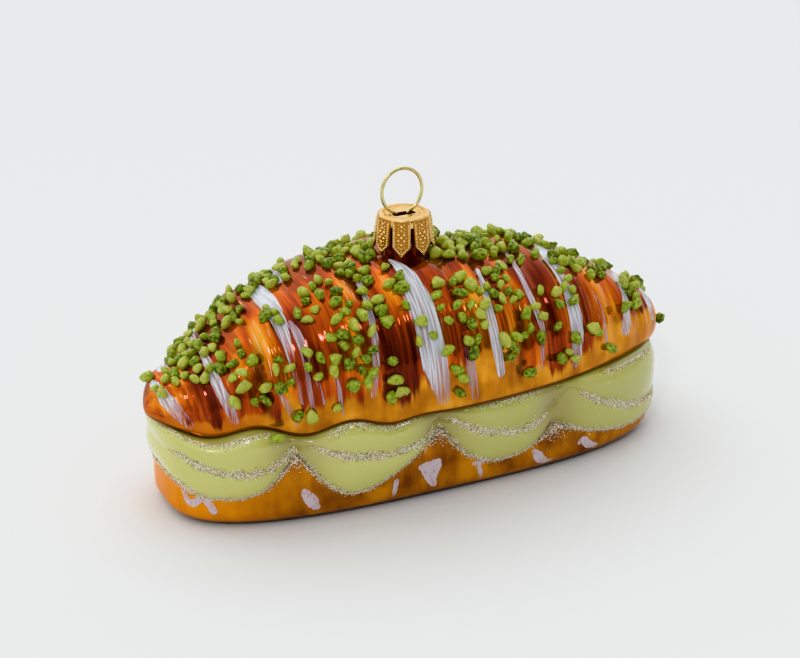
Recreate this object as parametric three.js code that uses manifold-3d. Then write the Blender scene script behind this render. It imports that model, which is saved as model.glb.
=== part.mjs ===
// A filled croissant as a blown-glass ornament: a top crust strewn with green granules, a cream
// filling piped in four lobes, a bottom crust, and a crown cap with its hanging ring.
// Millimetres. +X runs along the croissant, -Y is its front and +Z is up. The origin is on the
// flat base, under the middle of the top crust.

import * as THREE from 'three';
import { ConvexGeometry } from 'three/addons/geometries/ConvexGeometry.js';
import { mergeVertices } from 'three/addons/utils/BufferGeometryUtils.js';
import Module from 'manifold-3d';

const wasm = await Module();
wasm.setup();

// Driving dimensions

const gap = 0.3; // between neighbouring pieces

// A plan is an outline from above: its reach to the left, to the right and to each side, and a
// power, where 2 is an ellipse, less is more pointed and more is boxier.
const topCrust = {
  plan: { left: 62.7, right: 62.7, side: 24.2, power: 1.87 },
  sectionPower: 2.5, // of the cross-section: 2 is round, more is boxier
  lipHeight: 1.8, // from the underside up to the widest line
  lipInset: 1.0,
  underside: 21.2,
  wave: { height: 1.1, length: 19, crest: -43.3, fadeOver: 24 }, // underside's wave, left half
  // Height of the ridge over the widest line, before the tips are rounded: [x, height]
  ridge: [
    [-62.7, 9.0], [-46, 16.2], [-38, 22.6], [-22, 26.2], [-3, 28.4],
    [14, 25.6], [30, 22.6], [46, 15.6], [62.7, 8.0],
  ],
  tipPower: 12, // how late the tips round off
  rimFade: 0.16, // share of the rise, up from the rim, over which the relief sets in
  tipFade: 7, // the same, in from the tips
  creases: [{ ridgeX: -44, rimX: -41 }, { ridgeX: 19, rimX: 14.5 }], // between the rolled segments
  creaseDepth: 0.9,
  creaseReach: 1.8,
  flutes: [{ length: 6.6, height: 0.2, shift: 0.7 }, { length: 9.7, height: 0.2, shift: 2.1 }],
  fluteLean: 2.4, // how far a flute drifts along X on its way from ridge to rim
  capSeat: { depth: 1.6, reach: 9 }, // dip round the neck
  stations: 84,
  sectionSteps: 16,
};

const cream = {
  plan: { left: 60, right: 58.4, side: 22.2, power: 2.86 }, // at its lower edge
  // Where the lobes meet on the bottom crust, and the ends: [x, z]
  cusps: [[-61.5, 12.8], [-36.6, 16.8], [-3.8, 16.8], [24.8, 11.3], [61.5, 9.0]],
  lobes: [
    { lowX: -51.5, lowZ: 7.4, power: 2.7, foldZ: 13.6, foldSlant: -1.0 },
    { lowX: -24, lowZ: 5.5, power: 1.7, foldZ: 14.0, foldSlant: -1.8 },
    { lowX: 11, lowZ: 6.2, power: 2.2, foldZ: 13.3, foldSlant: -2.8 },
    { lowX: 50, lowZ: 4.8, power: 1.8, foldZ: 11.7, foldSlant: -6.7 },
  ],
  foldRise: 4.5, // from a lobe's middle to its ends, of the fold between its two rolls
  foldSettles: 0.75, // share of the way to a lobe's end from which its fold turns to mid height
  foldMargin: 1.2, // least height of a roll
  bottomTuck: 1.2, // of the lower edge, in from the lobes' fullest line
  foldDepth: 0.7,
  topTuck: 1.5,
  valleyDepth: 2,
  valleyReach: 4.4,
  // Rows of corners, from the bottom up: the roll (0 below the fold, 1 above) and how far up it
  levels: [[0, 0], [0, 0.25], [0, 0.7], [0, 1], [1, 0.3], [1, 0.75], [1, 1]],
};

const bottomCrust = {
  plan: { ...cream.plan, side: 21.9 },
  edgeInset: 5, // the lower edge is rounded, this far in and this far up
  edgeRise: 4,
  edgeSteps: 3,
};

const lowerStations = 56; // along both lower layers, so that they meet point for point

const granule = {
  smallest: 1.8,
  largest: 3,
  // Shares of a granule's size
  proportions: [1.14, 0.94], // length and width
  rise: 0.28, // of its middle over the crust
  crown: 0.42, // from its middle up to its top edge
  root: 0.62, // from its middle down to its sunk point
  topEdge: 0.5, // length of the top edge
  unevenness: 0.24,
  closest: 0.46, // least distance of two middles, as a share of their sizes' sum
  attempts: 12,
  clearOfCap: 8.6,
  endMargin: 1.1,
  rimMargin: 0.03,
  seed: 4711,
  inSolid: 190, // the largest ones, which are fused on
};

// Where granules stuck to the glaze: middle along X, middle from front rim (0) over the ridge
// (0.5) to back rim (1), reach each way of both, and number
const patches = [
  [-58, 0.34, 3.2, 0.1, 6], [-54, 0.49, 4.5, 0.12, 12], [-51.5, 0.31, 2.4, 0.05, 4],
  [-46, 0.25, 3, 0.09, 9], [-46, 0.47, 5, 0.09, 13], [-44, 0.11, 3.6, 0.04, 5],
  [-38, 0.17, 2.4, 0.055, 6], [-37, 0.34, 2.4, 0.06, 4], [-34.5, 0.055, 1.8, 0.02, 2],
  [-40.5, 0.56, 3.4, 0.06, 8], [-31.5, 0.56, 5.5, 0.06, 13], [-31.5, 0.17, 2.4, 0.05, 5],
  [-30.5, 0.31, 2.4, 0.05, 5],
  [-28, 0.17, 1.4, 0.06, 3], [-28, 0.035, 0.6, 0.01, 1], [-26, 0.35, 3.4, 0.06, 8],
  [-22.5, 0.19, 3.8, 0.12, 21], [-18, 0.38, 4.4, 0.05, 7], [-17, 0.53, 9, 0.09, 34],
  [-16.5, 0.26, 2.2, 0.05, 6], [-15.5, 0.11, 1.8, 0.07, 6], [-10.5, 0.31, 2.6, 0.08, 6],
  [-8, 0.18, 2, 0.05, 3], [-3, 0.23, 1.6, 0.1, 5], [-0.5, 0.06, 1.6, 0.04, 4],
  [2.5, 0.16, 2, 0.05, 5], [4.5, 0.25, 4, 0.07, 13], [10, 0.47, 8.5, 0.1, 30],
  [10, 0.21, 1, 0.02, 1], [12.5, 0.13, 2.2, 0.04, 4], [13.5, 0.3, 4.4, 0.07, 15],
  [16.5, 0.045, 2, 0.015, 2], [19, 0.16, 2.6, 0.07, 6], [22, 0.42, 5, 0.06, 7],
  [24.5, 0.22, 2, 0.07, 4], [26.5, 0.06, 2.6, 0.03, 4], [29, 0.55, 9, 0.05, 14],
  [29.5, 0.11, 0.8, 0.02, 1], [31, 0.24, 2.2, 0.05, 5], [31.5, 0.36, 1.8, 0.07, 5],
  [35, 0.13, 1.6, 0.02, 3], [40, 0.4, 7, 0.08, 22], [40, 0.05, 0.6, 0.01, 1],
  [46, 0.2, 1.2, 0.03, 2], [51, 0.3, 2.6, 0.09, 7], [57, 0.45, 0.8, 0.03, 1],
];
const mirroredBelow = 0.4; // patches lower than this on the front are repeated on the back

const cap = {
  x: -2.2,
  top: 58.9,
  radius: 5.7,
  wall: 0.55,
  // The dish's section, from its middle out and back in under the rim: how far in from the
  // radius, and how far below the top
  outside: [[5.7, 0.5], [1.7, 0.15], [1.3, 0], [0.7, 0.05], [0.2, 0.5], [0, 1.3], [0, 2.1]],
  inside: [[0.55, 2.1], [0.55, 1.4], [1.0, 0.8], [1.7, 0.7], [5.7, 1.05]],
  slot: { length: 5.2, width: 2.2, depth: 6 },
  segments: 32,
  petals: 8,
  petalTurn: 14.5, // degrees, of the first petal from +X
  petalWidth: 3.8,
  petalLength: 7.4,
  petalTip: 2.1, // height of the pointed end
  petalFlare: 6.2, // degrees
  petalTop: 0.9, // below the cap's top
  petalStandOff: 0.05, // outside the radius
};

const neck = { radius: 4.3, boreRadius: 2.9, top: 57.2, boreBottom: 53, foot: 44, segments: 20 };

const ring = {
  x: -2.7,
  wire: 0.76,
  halfWidth: 4.75,
  riseTop: 5.0, // from the ring's middle to the top of the wire's axis
  riseBottom: 5.2,
  middle: 63.6,
  // Where the round part ends, then along a leg: out from the middle, and height
  legX: 1.5,
  leg: [[1.42, 57.4], [1.35, 54.2]],
  arcPoints: 22,
  sides: 8,
  steps: 40,
};

// Surfaces

function planReach(plan, x) {
  return x < 0 ? plan.left : plan.right;
}

// Half of a plan's outline, drawn in by an inset: angle 0 is the +X end, PI the -X end.
function planPoint(angle, plan, inset = 0) {
  const c = Math.cos(angle);
  return {
    x: (planReach(plan, c) - inset) * Math.sign(c) * Math.abs(c) ** (2 / plan.power),
    y: (plan.side - inset) * Math.abs(Math.sin(angle)) ** (2 / plan.power),
  };
}

// A point out from such an outline, square to it.
function planOffset(angle, plan, offset) {
  const { x, y } = planPoint(angle, plan);
  const reach = planReach(plan, x);
  const slopeX = Math.sign(x) * Math.abs(x / reach) ** (plan.power - 1) / reach;
  const slopeY = (y / plan.side) ** (plan.power - 1) / plan.side;
  const steepness = Math.hypot(slopeX, slopeY);
  return { x: x + offset * slopeX / steepness, y: y + offset * slopeY / steepness };
}

// A smooth curve through [x, value] pairs.
function through(pairs, x) {
  const last = pairs.length - 1;
  const slopeAt = (i) => {
    const before = pairs[Math.max(i - 1, 0)];
    const after = pairs[Math.min(i + 1, last)];
    return (after[1] - before[1]) / (after[0] - before[0]);
  };
  let i = 0;
  while (i < last - 1 && x > pairs[i + 1][0]) i += 1;
  const span = pairs[i + 1][0] - pairs[i][0];
  const t = (x - pairs[i][0]) / span;
  const ease = t * t * (3 - 2 * t);
  const ends = (1 - ease) * pairs[i][1] + ease * pairs[i + 1][1];
  const leave = (t - 2 * t * t + t * t * t) * slopeAt(i);
  const arrive = (t * t * t - t * t) * slopeAt(i + 1);
  return ends + span * (leave + arrive);
}

function undersideZ(x) {
  const { wave, underside } = topCrust;
  const t = THREE.MathUtils.clamp(-x / wave.fadeOver, 0, 1);
  const fade = t * t * (3 - 2 * t);
  return underside + fade * wave.height * Math.cos(2 * Math.PI * (x - wave.crest) / wave.length);
}

function ridgeHeight(x) {
  const tip = 1 - Math.abs(x / planReach(topCrust.plan, x)) ** topCrust.tipPower;
  return through(topCrust.ridge, x) * Math.sqrt(Math.max(tip, 0));
}

function crustHalfWidth(x) {
  const { side, power } = topCrust.plan;
  const share = Math.abs(x / planReach(topCrust.plan, x));
  return side * Math.max(1 - share ** power, 0) ** (1 / power);
}

// The top crust without relief. up runs from the front rim (0) over the ridge (0.5) to the back
// rim (1).
function smoothCrust(x, up) {
  const n = topCrust.sectionPower;
  const c = Math.cos(up * Math.PI);
  const s = Math.sin(up * Math.PI);
  const reach = (Math.abs(c) ** n + Math.abs(s) ** n) ** (-1 / n);
  const y = -crustHalfWidth(x) * reach * c;
  const z = undersideZ(x) + topCrust.lipHeight + ridgeHeight(x) * reach * s;
  return new THREE.Vector3(x, y, z);
}

function crustNormal(x, up) {
  const stepX = 0.05;
  const stepUp = 0.002;
  const along = smoothCrust(x + stepX, up).sub(smoothCrust(x - stepX, up));
  const around = smoothCrust(x, up + stepUp).sub(smoothCrust(x, up - stepUp));
  return along.cross(around).normalize();
}

// Creases between the rolled segments, the flutes that run from ridge to rim, and the dip that
// the cap sits in. They fade out towards the rim and the tips.
function crustRelief(x, up) {
  const rise = 1 - Math.abs(2 * up - 1);
  const away = Math.hypot(x - cap.x, smoothCrust(x, up).y);
  let relief = -topCrust.capSeat.depth * Math.exp(-((away / topCrust.capSeat.reach) ** 4));
  for (const { ridgeX, rimX } of topCrust.creases) {
    const off = (x - rimX - (ridgeX - rimX) * rise) / topCrust.creaseReach;
    relief -= topCrust.creaseDepth * Math.exp(-off * off);
  }
  for (const { length, height, shift } of topCrust.flutes) {
    relief += height * Math.sin(2 * Math.PI * (x + topCrust.fluteLean * rise) / length + shift);
  }
  const rimFade = Math.min(rise / topCrust.rimFade, 1);
  const tipFade = Math.min((planReach(topCrust.plan, x) - Math.abs(x)) / topCrust.tipFade, 1);
  return relief * rimFade * Math.max(tipFade, 0);
}

function crustPoint(x, up, lift = 0) {
  const height = crustRelief(x, up) + lift;
  const point = smoothCrust(x, up);
  return height === 0 ? point : point.addScaledVector(crustNormal(x, up), height);
}

// The scalloped line where the cream's lobes sit in the bottom crust.
function lobeAt(x) {
  let i = 0;
  while (i < cream.lobes.length - 1 && x > cream.cusps[i + 1][0]) i += 1;
  return { lobe: cream.lobes[i], left: cream.cusps[i], right: cream.cusps[i + 1] };
}

function scallopZ(x) {
  const { lobe, left, right } = lobeAt(x);
  const [endX, endZ] = x < lobe.lowX ? left : right;
  const share = Math.min((x - lobe.lowX) / (endX - lobe.lowX), 1);
  return lobe.lowZ + (endZ - lobe.lowZ) * share ** lobe.power;
}

// The fold between a lobe's lower and upper roll.
function foldZ(x) {
  const { lobe, left, right } = lobeAt(x);
  const share = (2 * x - left[0] - right[0]) / (right[0] - left[0]);
  const low = scallopZ(x) + cream.foldMargin;
  const high = undersideZ(x) - gap - cream.foldMargin;
  const fold = lobe.foldZ + lobe.foldSlant * share + cream.foldRise * share * share;
  const settled = THREE.MathUtils.smoothstep(Math.abs(share), cream.foldSettles, 1);
  const height = THREE.MathUtils.lerp(fold, (low + high) / 2, settled);
  return THREE.MathUtils.clamp(height, low, high);
}

// How far the cream's wall is drawn in: each roll is round, with a fold between them. roll is 0
// below the fold and 1 above it.
function rollInset(roll, share) {
  const { bottomTuck, foldDepth, topTuck } = cream;
  const round = 1 - Math.sqrt(Math.max(4 * share * (1 - share), 0));
  const [from, to] = roll === 0 ? [bottomTuck, foldDepth] : [foldDepth, topTuck];
  return round * (from + (to - from) * share);
}

// The soft valleys where the lobes meet.
function valleyInset(x) {
  const { cusps, valleyDepth, valleyReach } = cream;
  const inner = cusps.slice(1, -1);
  return inner.reduce((sum, [cuspX]) => (
    sum + valleyDepth * Math.exp(-(((x - cuspX) / valleyReach) ** 2))), 0);
}

// Solids

function toGeometry(positions, indices) {
  const geometry = new THREE.BufferGeometry();
  geometry.setAttribute('position', new THREE.Float32BufferAttribute(positions, 3));
  geometry.setIndex(indices);
  return geometry;
}

// Shared corners merged, and the triangles that this closes up dropped.
function weld(geometry) {
  geometry.deleteAttribute('normal');
  geometry.deleteAttribute('uv');
  const merged = mergeVertices(geometry, 1e-3);
  const index = merged.getIndex().array;
  const kept = [];
  for (let i = 0; i < index.length; i += 3) {
    const [a, b, c] = [index[i], index[i + 1], index[i + 2]];
    if (a !== b && b !== c && c !== a) kept.push(a, b, c);
  }
  merged.setIndex(kept);
  return merged;
}

function toManifold(geometry) {
  const welded = weld(geometry);
  const vertProperties = new Float32Array(welded.getAttribute('position').array);
  const triVerts = new Uint32Array(welded.getIndex().array);
  return new wasm.Manifold(new wasm.Mesh({ numProp: 3, vertProperties, triVerts }));
}

function fromManifold(solid) {
  const { vertProperties, triVerts, numProp } = solid.getMesh();
  const positions = [];
  for (let i = 0; i < vertProperties.length; i += numProp) {
    positions.push(vertProperties[i], vertProperties[i + 1], vertProperties[i + 2]);
  }
  return toGeometry(positions, Array.from(triVerts));
}

// A closed solid through rows of points, one row for each station from the +X end to the -X end.
// A row goes up the front and down the back, and the first and last rows lie folded on y = 0.
function loft(rows) {
  const count = rows[0].length;
  const indices = [];
  for (let i = 0; i < rows.length - 1; i += 1) {
    for (let j = 0; j < count; j += 1) {
      const next = (j + 1) % count;
      const [a, b] = [i * count + j, i * count + next];
      const [c, d] = [a + count, b + count];
      indices.push(a, b, d, a, d, c);
    }
  }
  return weld(toGeometry(rows.flat().flatMap((p) => [p.x, p.y, p.z]), indices));
}

function evenAngles(count) {
  return Array.from({ length: count + 1 }, (_, i) => Math.PI * i / count);
}

// Even angles, with the nearest ones moved onto the cusps of the scalloped line.
function cuspedAngles() {
  const { plan } = bottomCrust;
  const angles = evenAngles(lowerStations);
  for (const [cuspX] of cream.cusps.slice(1, -1)) {
    const share = Math.abs(cuspX / planReach(plan, cuspX));
    const angle = Math.acos(Math.sign(cuspX) * share ** (plan.power / 2));
    angles[Math.round(angle / Math.PI * lowerStations)] = angle;
  }
  return angles;
}

// A row of a walled piece: the front wall's points from the bottom up, then the back wall's.
function wallRow(points) {
  const front = points.map(({ x, y, z }) => new THREE.Vector3(x, -y, z));
  const back = points.map(({ x, y, z }) => new THREE.Vector3(x, y, z)).reverse();
  return [...front, ...back];
}

function makeCrustCore() {
  const { plan, lipInset, sectionSteps } = topCrust;
  const rows = evenAngles(topCrust.stations).map((angle) => {
    const { x } = planPoint(angle, plan);
    const edge = planPoint(angle, plan, lipInset);
    const z = undersideZ(edge.x);
    const row = [new THREE.Vector3(edge.x, -edge.y, z)];
    for (let k = 0; k <= sectionSteps; k += 1) row.push(crustPoint(x, k / sectionSteps));
    row.push(new THREE.Vector3(edge.x, edge.y, z));
    return row;
  });
  return loft(rows);
}

// The glass neck that the cap sits round, open at the top.
function makeNeck() {
  const { radius, boreRadius, top, boreBottom, foot, segments } = neck;
  const profile = [
    [0, foot], [radius, foot], [radius, top], [boreRadius, top], [boreRadius, boreBottom],
    [0, boreBottom],
  ];
  const points = profile.map(([r, z]) => new THREE.Vector2(r, z));
  const geometry = new THREE.LatheGeometry(points, segments);
  return geometry.rotateX(Math.PI / 2).translate(cap.x, 0, 0);
}

// Numbers from 0 to 1 that are the same on every run.
function makeDraw(seed) {
  let state = seed;
  return () => {
    state = (Math.imul(state, 1664525) + 1013904223) >>> 0;
    return state / 4294967296;
  };
}

function allPatches() {
  const lower = patches.filter(([, up]) => up < mirroredBelow);
  const behind = lower.map(([x, up, reachX, reachUp, count]) => [-x, 1 - up, reachX, reachUp, count]);
  return [...patches, ...behind];
}

function placeGranules() {
  const draw = makeDraw(granule.seed);
  const axis = new THREE.Vector2(cap.x, 0);
  const placed = [];
  for (const [middleX, middleUp, reachX, reachUp, count] of allPatches()) {
    for (let n = 0; n < count; n += 1) {
      for (let attempt = 0; attempt < granule.attempts; attempt += 1) {
        const size = granule.smallest + (granule.largest - granule.smallest) * draw();
        const [out, way] = [Math.sqrt(draw()), 2 * Math.PI * draw()];
        const x = middleX + reachX * out * Math.cos(way);
        const up = middleUp + reachUp * out * Math.sin(way);
        const turn = Math.PI * draw();
        const inside = Math.abs(x) < planReach(topCrust.plan, x) - granule.endMargin
          && Math.min(up, 1 - up) > granule.rimMargin;
        if (!inside) continue;
        const middle = crustPoint(x, up, granule.rise * size);
        const clear = axis.distanceTo(middle) > granule.clearOfCap
          && placed.every((other) => (
            other.middle.distanceTo(middle) > granule.closest * (other.size + size)));
        if (!clear) continue;
        placed.push({ size, x, up, turn, middle });
        break;
      }
    }
  }
  return placed.sort((a, b) => b.size - a.size);
}

// A pebble of twelve faces: a five-cornered girdle, a short top edge and a point sunk in the crust.
function makeGranule({ size, x, up, turn, middle }, draw) {
  const [length, width] = granule.proportions;
  const points = [
    [0, 0, -granule.root],
    [-granule.topEdge / 2, 0, granule.crown],
    [granule.topEdge / 2, 0, granule.crown],
  ];
  for (let k = 0; k < 5; k += 1) {
    const angle = 2 * Math.PI * k / 5;
    points.push([length / 2 * Math.cos(angle), width / 2 * Math.sin(angle), 0]);
  }
  const corners = points.map((point) => {
    const grow = size * (1 + granule.unevenness * (draw() - 0.5));
    return new THREE.Vector3(...point).multiplyScalar(grow);
  });
  const upright = new THREE.Vector3(0, 0, 1);
  const lie = new THREE.Quaternion().setFromUnitVectors(upright, crustNormal(x, up));
  const spin = new THREE.Quaternion().setFromAxisAngle(upright, turn);
  const geometry = new ConvexGeometry(corners).applyQuaternion(lie.multiply(spin));
  return geometry.translate(middle.x, middle.y, middle.z);
}

function makeTopCrust() {
  const draw = makeDraw(granule.seed + 1);
  let solid = toManifold(makeCrustCore()).add(toManifold(makeNeck()));
  for (const place of placeGranules().slice(0, granule.inSolid)) {
    solid = solid.add(toManifold(makeGranule(place, draw)));
  }
  return fromManifold(solid);
}

function makeCream() {
  const rows = cuspedAngles().map((angle) => wallRow(cream.levels.map(([roll, share]) => {
    const bulge = cream.bottomTuck - rollInset(roll, share);
    const { x, y } = planOffset(angle, cream.plan, bulge);
    const fold = foldZ(x);
    const [from, to] = roll === 0 ? [scallopZ(x), fold] : [fold, undersideZ(x) - gap];
    return { x, y: Math.max(y - valleyInset(x), 0), z: from + (to - from) * share };
  })));
  return loft(rows);
}

function makeBottomCrust() {
  const { plan, edgeInset, edgeRise, edgeSteps } = bottomCrust;
  const rows = cuspedAngles().map((angle) => {
    const points = [];
    for (let k = 0; k <= edgeSteps; k += 1) {
      const bend = Math.PI / 2 * k / edgeSteps;
      const point = planPoint(angle, plan, edgeInset * (1 - Math.sin(bend)));
      points.push({ ...point, z: edgeRise * (1 - Math.cos(bend)) });
    }
    const edge = planPoint(angle, plan);
    points.push({ ...edge, z: scallopZ(edge.x) - gap });
    return wallRow(points);
  });
  return loft(rows);
}

// The cap's own origin is the middle of its top.
function makeCapDish() {
  const { outside, inside, radius, segments } = cap;
  const profile = [...outside, ...inside].map(([inward, down]) => [radius - inward, -down]);
  const points = profile.reverse().map(([r, z]) => new THREE.Vector2(r, z));
  return new THREE.LatheGeometry(points, segments).rotateX(Math.PI / 2);
}

function makePetal(index) {
  const { petalWidth, petalLength, petalTip, petalFlare, petalTurn, petals, wall } = cap;
  const half = petalWidth / 2;
  const shape = new THREE.Shape();
  shape.moveTo(-half, 0);
  shape.lineTo(-half, petalTip - petalLength);
  shape.lineTo(0, -petalLength);
  shape.lineTo(half, petalTip - petalLength);
  shape.lineTo(half, 0);
  shape.closePath();
  const geometry = new THREE.ExtrudeGeometry(shape, { depth: wall, bevelEnabled: false });
  geometry.translate(0, 0, -wall).rotateX(-THREE.MathUtils.degToRad(petalFlare));
  geometry.translate(0, 0, cap.radius + cap.petalStandOff);
  geometry.rotateX(Math.PI / 2).rotateZ(Math.PI / 2);
  geometry.rotateZ(THREE.MathUtils.degToRad(petalTurn + 360 * index / petals));
  return geometry.translate(0, 0, -cap.petalTop);
}

function makeCap() {
  let solid = toManifold(makeCapDish());
  for (let i = 0; i < cap.petals; i += 1) solid = solid.add(toManifold(makePetal(i)));
  const { length, width, depth } = cap.slot;
  const slot = new THREE.BoxGeometry(length, width, depth);
  return fromManifold(solid.subtract(toManifold(slot)));
}

// The wire comes up through the slot, goes once round and down again.
function makeRing() {
  const { wire, halfWidth, riseTop, riseBottom, middle, legX, leg, arcPoints } = ring;
  const start = Math.acos(legX / halfWidth);
  const points = [...leg].reverse().map(([out, z]) => [-out, z]);
  for (let i = 0; i <= arcPoints; i += 1) {
    const angle = Math.PI + start - (Math.PI + 2 * start) * i / arcPoints;
    const rise = Math.sin(angle) > 0 ? riseTop : riseBottom;
    points.push([halfWidth * Math.cos(angle), middle + rise * Math.sin(angle)]);
  }
  points.push(...leg);
  const path = new THREE.CatmullRomCurve3(points.map(([x, z]) => new THREE.Vector3(x, 0, z)));
  const section = new THREE.Shape();
  section.absarc(0, 0, wire / 2, 0, 2 * Math.PI);
  const settings = { steps: ring.steps, curveSegments: ring.sides / 2, extrudePath: path };
  return weld(new THREE.ExtrudeGeometry(section, settings));
}

// The object

const finishes = {
  amberGlass: { color: '#b8650f', roughness: 0.16, metalness: 0.45 },
  creamEnamel: { color: '#bcc586', roughness: 0.22, metalness: 0 },
  goldBrass: { color: '#c9983a', roughness: 0.3, metalness: 1 },
  paleBrass: { color: '#cfc08a', roughness: 0.25, metalness: 1 },
};

function makeMesh(name, geometry, finish) {
  geometry.computeVertexNormals();
  const mesh = new THREE.Mesh(geometry, new THREE.MeshStandardMaterial(finishes[finish]));
  mesh.name = name;
  return mesh;
}

const croissant = new THREE.Group();
croissant.add(
  makeMesh('top_crust', makeTopCrust(), 'amberGlass'),
  makeMesh('cream_filling', makeCream(), 'creamEnamel'),
  makeMesh('bottom_crust', makeBottomCrust(), 'amberGlass'),
);

const crown = makeMesh('cap', makeCap(), 'goldBrass');
crown.position.set(cap.x, 0, cap.top);
const hanger = makeMesh('ring', makeRing(), 'paleBrass');
hanger.position.set(ring.x, 0, 0);
croissant.add(crown, hanger);

export default croissant;
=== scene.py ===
import math

import bmesh
import bpy
import numpy as np
from mathutils import Euler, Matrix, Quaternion, Vector


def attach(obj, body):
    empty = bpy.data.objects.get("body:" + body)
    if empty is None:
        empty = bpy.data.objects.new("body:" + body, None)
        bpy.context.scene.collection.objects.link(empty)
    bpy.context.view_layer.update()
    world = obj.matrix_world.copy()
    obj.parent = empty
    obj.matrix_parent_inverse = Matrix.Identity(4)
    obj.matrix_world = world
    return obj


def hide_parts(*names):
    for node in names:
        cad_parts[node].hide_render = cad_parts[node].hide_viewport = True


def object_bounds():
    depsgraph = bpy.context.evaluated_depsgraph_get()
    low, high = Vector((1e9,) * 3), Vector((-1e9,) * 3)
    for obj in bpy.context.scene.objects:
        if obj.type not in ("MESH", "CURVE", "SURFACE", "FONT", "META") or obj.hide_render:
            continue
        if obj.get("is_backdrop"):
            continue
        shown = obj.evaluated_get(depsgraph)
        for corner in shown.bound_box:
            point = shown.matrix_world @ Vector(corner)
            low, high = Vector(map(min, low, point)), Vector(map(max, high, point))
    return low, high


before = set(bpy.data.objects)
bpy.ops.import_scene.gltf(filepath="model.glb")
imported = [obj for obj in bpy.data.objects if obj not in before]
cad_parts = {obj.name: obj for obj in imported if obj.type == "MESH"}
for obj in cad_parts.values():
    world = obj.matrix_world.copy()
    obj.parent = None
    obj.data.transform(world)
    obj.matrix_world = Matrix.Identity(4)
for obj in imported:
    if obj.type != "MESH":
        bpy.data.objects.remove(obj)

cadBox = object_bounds()
mm = 0.001  # shapes are worked out in millimetres, and Blender gets metres
weldWithin = 0.002  # millimetres between corners that are one


def toLinear(hexColour):
    parts = [int(hexColour[i:i + 2], 16) / 255 for i in (1, 3, 5)]
    return [p / 12.92 if p <= 0.04045 else ((p + 0.055) / 1.055) ** 2.4 for p in parts] + [1.0]


def fillRamp(elements, stops):
    while len(elements) < len(stops):
        elements.new(1.0)
    for element, (place, colour) in zip(elements, stops):
        element.position = place
        element.color = toLinear(colour)


# An input is a value, a hex colour, another node's output, or a list of outputs. What comes back is
# the node's own outputs
def addNode(tree, kind, inputs=None, stops=None, **settings):
    node = tree.nodes.new(kind)
    for name, value in settings.items():
        setattr(node, name, value)
    for socket, value in (inputs or {}).items():
        sources = value if isinstance(value, list) else [value]
        if isinstance(sources[0], bpy.types.NodeSocket):
            for source in sources:
                tree.links.new(source, node.inputs[socket])
        elif isinstance(value, str) and value.startswith("#"):
            node.inputs[socket].default_value = toLinear(value)
        else:
            node.inputs[socket].default_value = value
    if stops:
        fillRamp(node.color_ramp.elements, stops)
    return node.outputs


def weigh(tree, plus, *terms):  # plus, and each output times its weight
    for source, weight in reversed(terms):
        plus = addNode(tree, "ShaderNodeMath", {0: source, 1: weight, 2: plus}, operation="MULTIPLY_ADD")[0]
    return plus


# A soft step as a weighted sum goes from start to end
def stepAcross(tree, start, end, plus, *terms, low=0.0, high=1.0):
    inputs = {"Value": weigh(tree, plus, *terms), "From Min": start, "From Max": end, "To Min": low,
              "To Max": high}
    return addNode(tree, "ShaderNodeMapRange", inputs, interpolation_type="SMOOTHSTEP")[0]


def addCoats(tree, colour, *coats):  # each coat is how much of it covers, and its colour
    for amount, coat in coats:
        colour = addNode(tree, "ShaderNodeMix", {0: amount, 6: colour, 7: coat}, data_type="RGBA")[2]
    return colour


def newMaterial(name):
    material = bpy.data.materials.new(name)
    material.use_nodes = True
    material.node_tree.nodes.clear()
    return material, material.node_tree


def finishMaterial(tree, inputs):
    shader = addNode(tree, "ShaderNodeBsdfPrincipled", inputs)
    addNode(tree, "ShaderNodeOutputMaterial", {"Surface": shader[0]})


def softNoise(u, v, seed):  # between -1 and 1, smooth, one bump for each unit
    cells = 128
    table = np.random.RandomState(seed).uniform(-1, 1, (cells, cells))
    cellU, cellV = np.floor(u).astype(int), np.floor(v).astype(int)
    easeU, easeV = [t * t * (3 - 2 * t) for t in (u - cellU, v - cellV)]
    corner = lambda i, j: table[(cellU + i) % cells, (cellV + j) % cells]
    low = corner(0, 0) * (1 - easeU) + corner(1, 0) * easeU
    high = corner(0, 1) * (1 - easeU) + corner(1, 1) * easeU
    return low * (1 - easeV) + high * easeV


def uneven(u, v, swing, grainU, grainV, seed):  # about 1, and up to swing more or less
    return 1 + swing * softNoise(u / grainU, v / grainV, seed)


def ease(value, start, end):  # smoothly from 0 at start to 1 at end
    t = np.clip((value - start) / (end - start), 0, 1)
    return t * t * (3 - 2 * t)


def hill(x, middle, reach, power=2):  # 1 in the middle, falling off over its reach
    return np.exp(-np.abs((x - middle) / reach) ** power)


def loopFaces(rows, columns):  # rows of points, each closed round, joined to the next row
    faces = []
    for i in range(rows - 1):
        for j in range(columns):
            following = (j + 1) % columns
            faces.append((i * columns + j, i * columns + following,
                          (i + 1) * columns + following, (i + 1) * columns + j))
    return faces


def addMesh(name, points, faces=(), fields=None, unit=1.0):
    mesh = bpy.data.meshes.new(name)
    mesh.from_pydata((np.asarray(points) * unit).tolist(), [], faces)
    for field, values in (fields or {}).items():
        values = np.asarray(values)
        whole, vector = values.dtype.kind == "i", values.size == 3 * len(points)
        kind = "INT" if whole else "FLOAT_VECTOR" if vector else "FLOAT"
        layer = mesh.attributes.new(field, kind, "POINT")
        layer.data.foreach_set("vector" if vector else "value", values.ravel())
    piece = bpy.data.objects.new(name, mesh)
    bpy.context.scene.collection.objects.link(piece)
    return piece


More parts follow.
